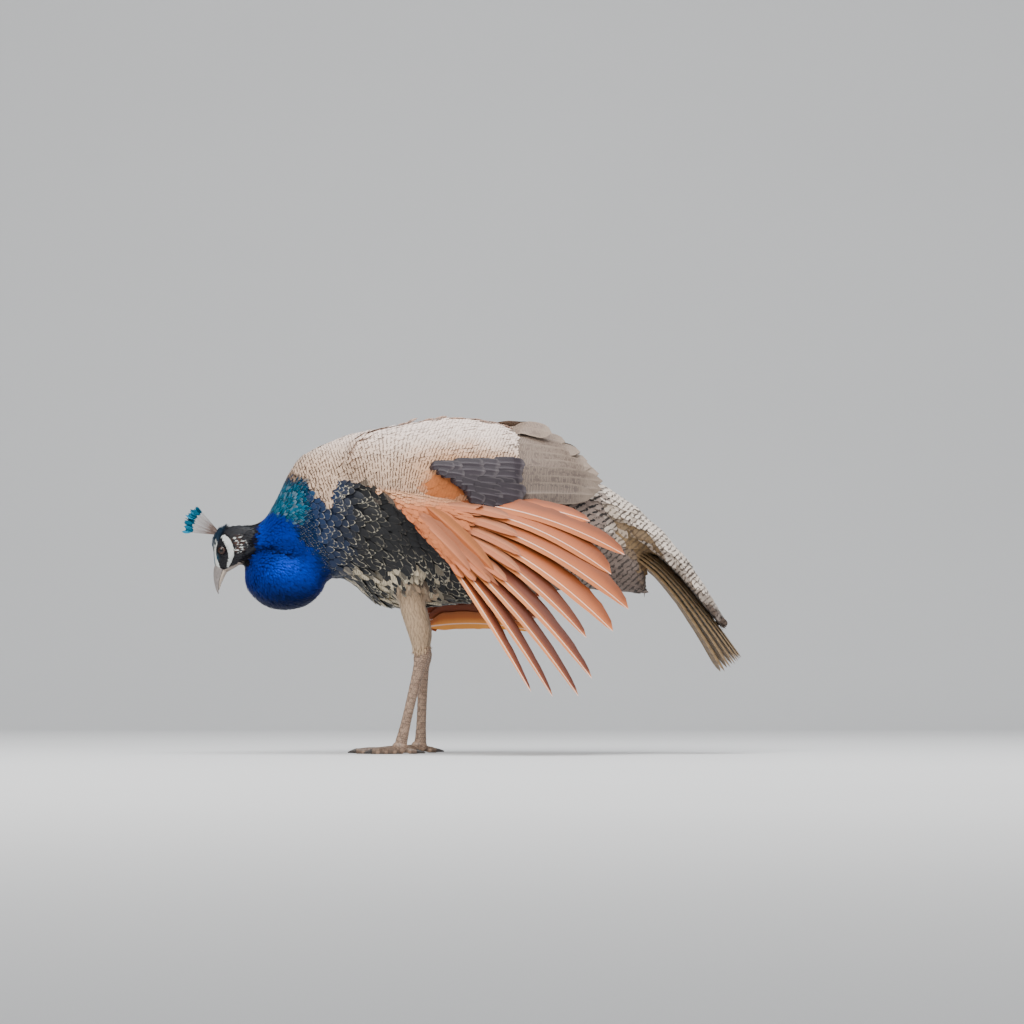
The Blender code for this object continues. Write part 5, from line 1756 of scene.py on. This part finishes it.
def add_eye(label, side):
    """A ball of rings about the line of sight, which points sideways and a little forward."""
    turn = np.linspace(0, 2 * math.pi, EYE_AROUND, endpoint=False)
    fall = np.linspace(0, math.pi, EYE_ROWS + 2)[1:-1]
    sight = unit(np.array([-0.10, side, 0.0]))
    right = unit(np.cross(sight, [0, 0, 1.0]))
    over = np.cross(right, sight)
    flat = np.cos(turn)[:, None] * right + np.sin(turn)[:, None] * over
    rings = np.cos(fall)[:, None, None] * sight + np.sin(fall)[:, None, None] * flat
    ball = np.concatenate([sight[None], -sight[None], rings.reshape(-1, 3)])
    angle = np.degrees(np.arccos(np.clip(ball @ sight, -1, 1)))
    spokes = 0.5 + 0.5 * np.sin(23 * np.arctan2(ball @ over, ball @ right))
    iris = blend(linear(36, 21, 14), linear(66, 39, 24), spokes * ease(20, 40, angle))
    tint = blend(np.full(3, 0.002), iris, ease(PUPIL_EDGE, PUPIL_EDGE + 3, angle))
    tint = blend(tint, linear(20, 14, 12), ease(IRIS_EDGE, IRIS_EDGE + 6, angle))
    points = ball * EYE_RADIUS * 0.995 + EYE + [0, side * EYE_SPREAD, 0]
    faces = outwards(points, shell_faces(EYE_ROWS, EYE_AROUND))
    make_piece(f"eyeball_{label}", points, faces, wet_paint, (f"eye_{label}",),
               {"tint": with_alpha(tint)})


for label, side in SIDES.items():
    add_eye(label, side)

# %% [markdown]
# ## Legs and feet
#
# Bare legs are covered with horny plates: two columns of broad ones down the front, small rounded
# ones behind, and a row over each toe. A plate is a small swelling of the surface with a groove
# round it, so both are worked out together from the place along the leg and the turn about it.

# %% Plates, and rings along a limb
PLATE_HEIGHT = 0.0005
GROOVE_DEPTH = 0.0003                       # how far the grooves lie inside the limb's own radius


def plates(along, turn, pitch, columns, stagger=0.5):
    """Height of the plates, 0 in the grooves to 1 on top: rows of one pitch, with every other row
    shifted by the stagger, and so many columns about the limb."""
    row = along / pitch
    column = turn / (2 * math.pi) * columns + stagger * np.floor(row)
    off_centre = [np.abs(place - np.floor(place) - 0.5) for place in (row, column)]
    groove = 0.6 + 0.4 * (np.minimum(*off_centre) < 0.45)    # shallower where two grooves meet
    return 1 - ease(0.62, 0.98, np.maximum(*off_centre) * 2) * groove


def limb_rings(path, radius, flat, side_way, around, relief):
    """Rings square to a path, wider or narrower sideways by flat. relief(along, turn) is added to the
    radius, and shades the lowest places; turn 0 faces forward."""
    along = unit(np.gradient(path, axis=0))
    side = unit(side_way - along * (along @ side_way)[:, None])
    front = np.cross(side, along)
    turn = np.linspace(0, 2 * math.pi, around, endpoint=False)
    run = np.concatenate([[0], np.cumsum(np.linalg.norm(np.diff(path, axis=0), axis=1))])
    raised = relief(run[:, None], turn[None])
    reach = radius[:, None] + raised
    rings = (path[:, None] + front[:, None] * (reach * np.cos(turn))[..., None]
             + side[:, None] * (reach * flat * np.sin(turn))[..., None])
    points = np.concatenate([path[:1], path[-1:], rings.reshape(-1, 3)])
    shade = np.concatenate([[1, 1], (0.42 + 0.58 * ease(-0.0003, 0.0001, raised)).ravel()])
    return points, outwards(points, shell_faces(len(path), around)), shade


def add_limb(name, parts, paint, stands_for):
    """One piece of several closed surfaces, each given as its points, faces and shade."""
    start = np.cumsum([0] + [len(points) for points, _, _ in parts])
    faces = np.concatenate([faces + first for (_, faces, _), first in zip(parts, start)])
    shade = np.concatenate([shade for _, _, shade in parts])
    make_piece(name, np.concatenate([points for points, _, _ in parts]), faces, paint, stands_for,
               {"tint": with_alpha(np.repeat(shade[:, None], 3, 1))})


def shank_relief(along, turn):
    """Broad plates on the front half, pebbles behind."""
    front = ease(0.15, 0.45, np.cos(turn))
    broad, pebbled = plates(along, turn, 0.0062, 6), plates(along, turn, 0.0030, 16)
    return 0.9 * PLATE_HEIGHT * (broad * front + 0.8 * pebbled * (1 - front)) - GROOVE_DEPTH


def toe_relief(along, turn):
    """Plates across the top of the toe, soft pads below."""
    top = ease(-0.1, 0.3, np.cos(turn))
    pad = PLATE_HEIGHT * np.cos(along / 0.013 * 2 * math.pi) * (1 - top)
    return PLATE_HEIGHT * plates(along, turn * 0, 0.0034, 1, 0) * top - GROOVE_DEPTH + pad


def knob_relief(along, turn):
    """Small plates all round."""
    return PLATE_HEIGHT * plates(along, turn, 0.003, 12) - GROOVE_DEPTH


def smooth_relief(along, turn):
    """None, as on a claw."""
    return np.zeros(np.broadcast_shapes(along.shape, turn.shape))


print("plates stand", PLATE_HEIGHT * 1000, "mm above their grooves")

# %% [markdown]
# The right leg stands a little further back than the left. A toe has swellings at its joints and
# flat pads underneath, and its claw comes out of its end and curves down to the ground.

# %% Shanks, toes and claws
HOCK = np.array([-0.009, 0.0, 0.140])
ANKLE = np.array([-0.038, 0.0, 0.017])
LEG_SPREAD = 0.052
REAR_ANKLE_BACK = 0.024
SHANK_RADII = [0.0066, 0.0108, 0.0103, 0.0078, 0.0068, 0.0068, 0.0086]
TOES = {  # length, splay in degrees and radius at the root
    "inner": (0.044, -30, 0.0062), "middle": (0.062, 0, 0.0068), "outer": (0.047, 30, 0.0062),
    "hind": (0.022, 168, 0.0055)}
HIND_RISE = 0.003
CLAW_LENGTH = 0.013


def grounded(surface, floor):
    """A limb's points, faces and shade, with no point lower than the floor."""
    points, faces, shade = surface
    points[:, 2] = np.maximum(points[:, 2], floor)
    return points, faces, shade


def shank(hock, ankle):
    """The bare shank, from just above the hock to just below the ankle."""
    run = np.linalg.norm(ankle - hock)
    distance = np.array([-0.010, 0.0, 0.010, 0.024, 0.060, 0.100, run + 0.006])
    places = hock + unit(ankle - hock) * distance[:, None]
    table = smooth_rows(np.concatenate([places, np.array([SHANK_RADII]).T], 1), 200)
    return limb_rings(table[:, :3], table[:, 3], 0.86, ACROSS, 56, shank_relief)


def ankle_knob(ankle):
    """The thick joint that the toes come out of: a ball, drawn out along the foot."""
    turn = np.linspace(0, math.pi, 20)[1:-1]
    level = np.zeros(len(turn))
    path = np.stack([ankle[0] - 0.002 + 0.0112 * np.cos(turn), ankle[1] + level, 0.0092 + level], -1)
    return limb_rings(path, 0.0083 * np.sin(turn) + 1e-4, 1.08, ACROSS, 28, knob_relief)


def toe_and_claw(toe, side, ankle):
    """One toe, thinner towards its end by a third, and its claw, which tapers as (1 - c)^0.75."""
    length, splay, radius = TOES[toe]
    splay = math.radians(splay)
    forward = np.array([-math.cos(splay), side * math.sin(splay), 0.0])
    aside = np.array([side * math.sin(splay), math.cos(splay), 0.0])
    start = np.array([ankle[0], ankle[1], radius * 0.80 + (HIND_RISE if toe == "hind" else 0.0)])
    t = np.linspace(0, 1, 64)
    size = radius * (1 - 0.32 * t) * (1 + 0.06 * np.cos(t * 4 * math.pi + math.pi))
    path = start + forward * length * t[:, None]
    path[:, 2] -= (start[2] - radius * 0.52) * t
    c = np.linspace(0, 1, 18)
    root = path[-1] - forward * 0.001
    nail = root + forward * CLAW_LENGTH * c[:, None]
    nail[:, 2] = root[2] + 0.0008 - (root[2] - 0.0010) * c ** 1.6
    thick = size[-1] * 0.74 * (1 - c) ** 0.75 + 0.0005
    return (grounded(limb_rings(path, size, 0.94, aside, 26, toe_relief), 0.0003),
            grounded(limb_rings(nail, thick, 0.8, aside, 16, smooth_relief), 0.0002))


def add_leg(label, side, back):
    """Shank, foot and claws of one leg."""
    hock = HOCK + [0, side * (LEG_SPREAD + 0.001), 0]
    ankle = ANKLE + [back, side * LEG_SPREAD, 0]
    toes, claws = zip(*(toe_and_claw(toe, side, ankle) for toe in TOES))
    add_limb(f"shank_scaled_{label}", [shank(hock, ankle)], leg_paint, (f"shank_{label}",))
    add_limb(f"foot_scaled_{label}", [ankle_knob(ankle), *toes], leg_paint, (f"foot_{label}",))
    add_limb(f"claws_{label}", claws, claw_paint, [f"claw_{label}_{toe}" for toe in TOES])


leg_paint = horny_paint("leg_scales", linear(168, 140, 118), linear(134, 108, 90), 220.0, 0.5, 0.2, plated=True)
claw_paint = horny_paint("claw_horn", linear(62, 54, 50), linear(34, 30, 28), 300.0, 0.38, 0.3)
add_leg("left", LEFT, 0.0)
add_leg("right", RIGHT, REAR_ANKLE_BACK)
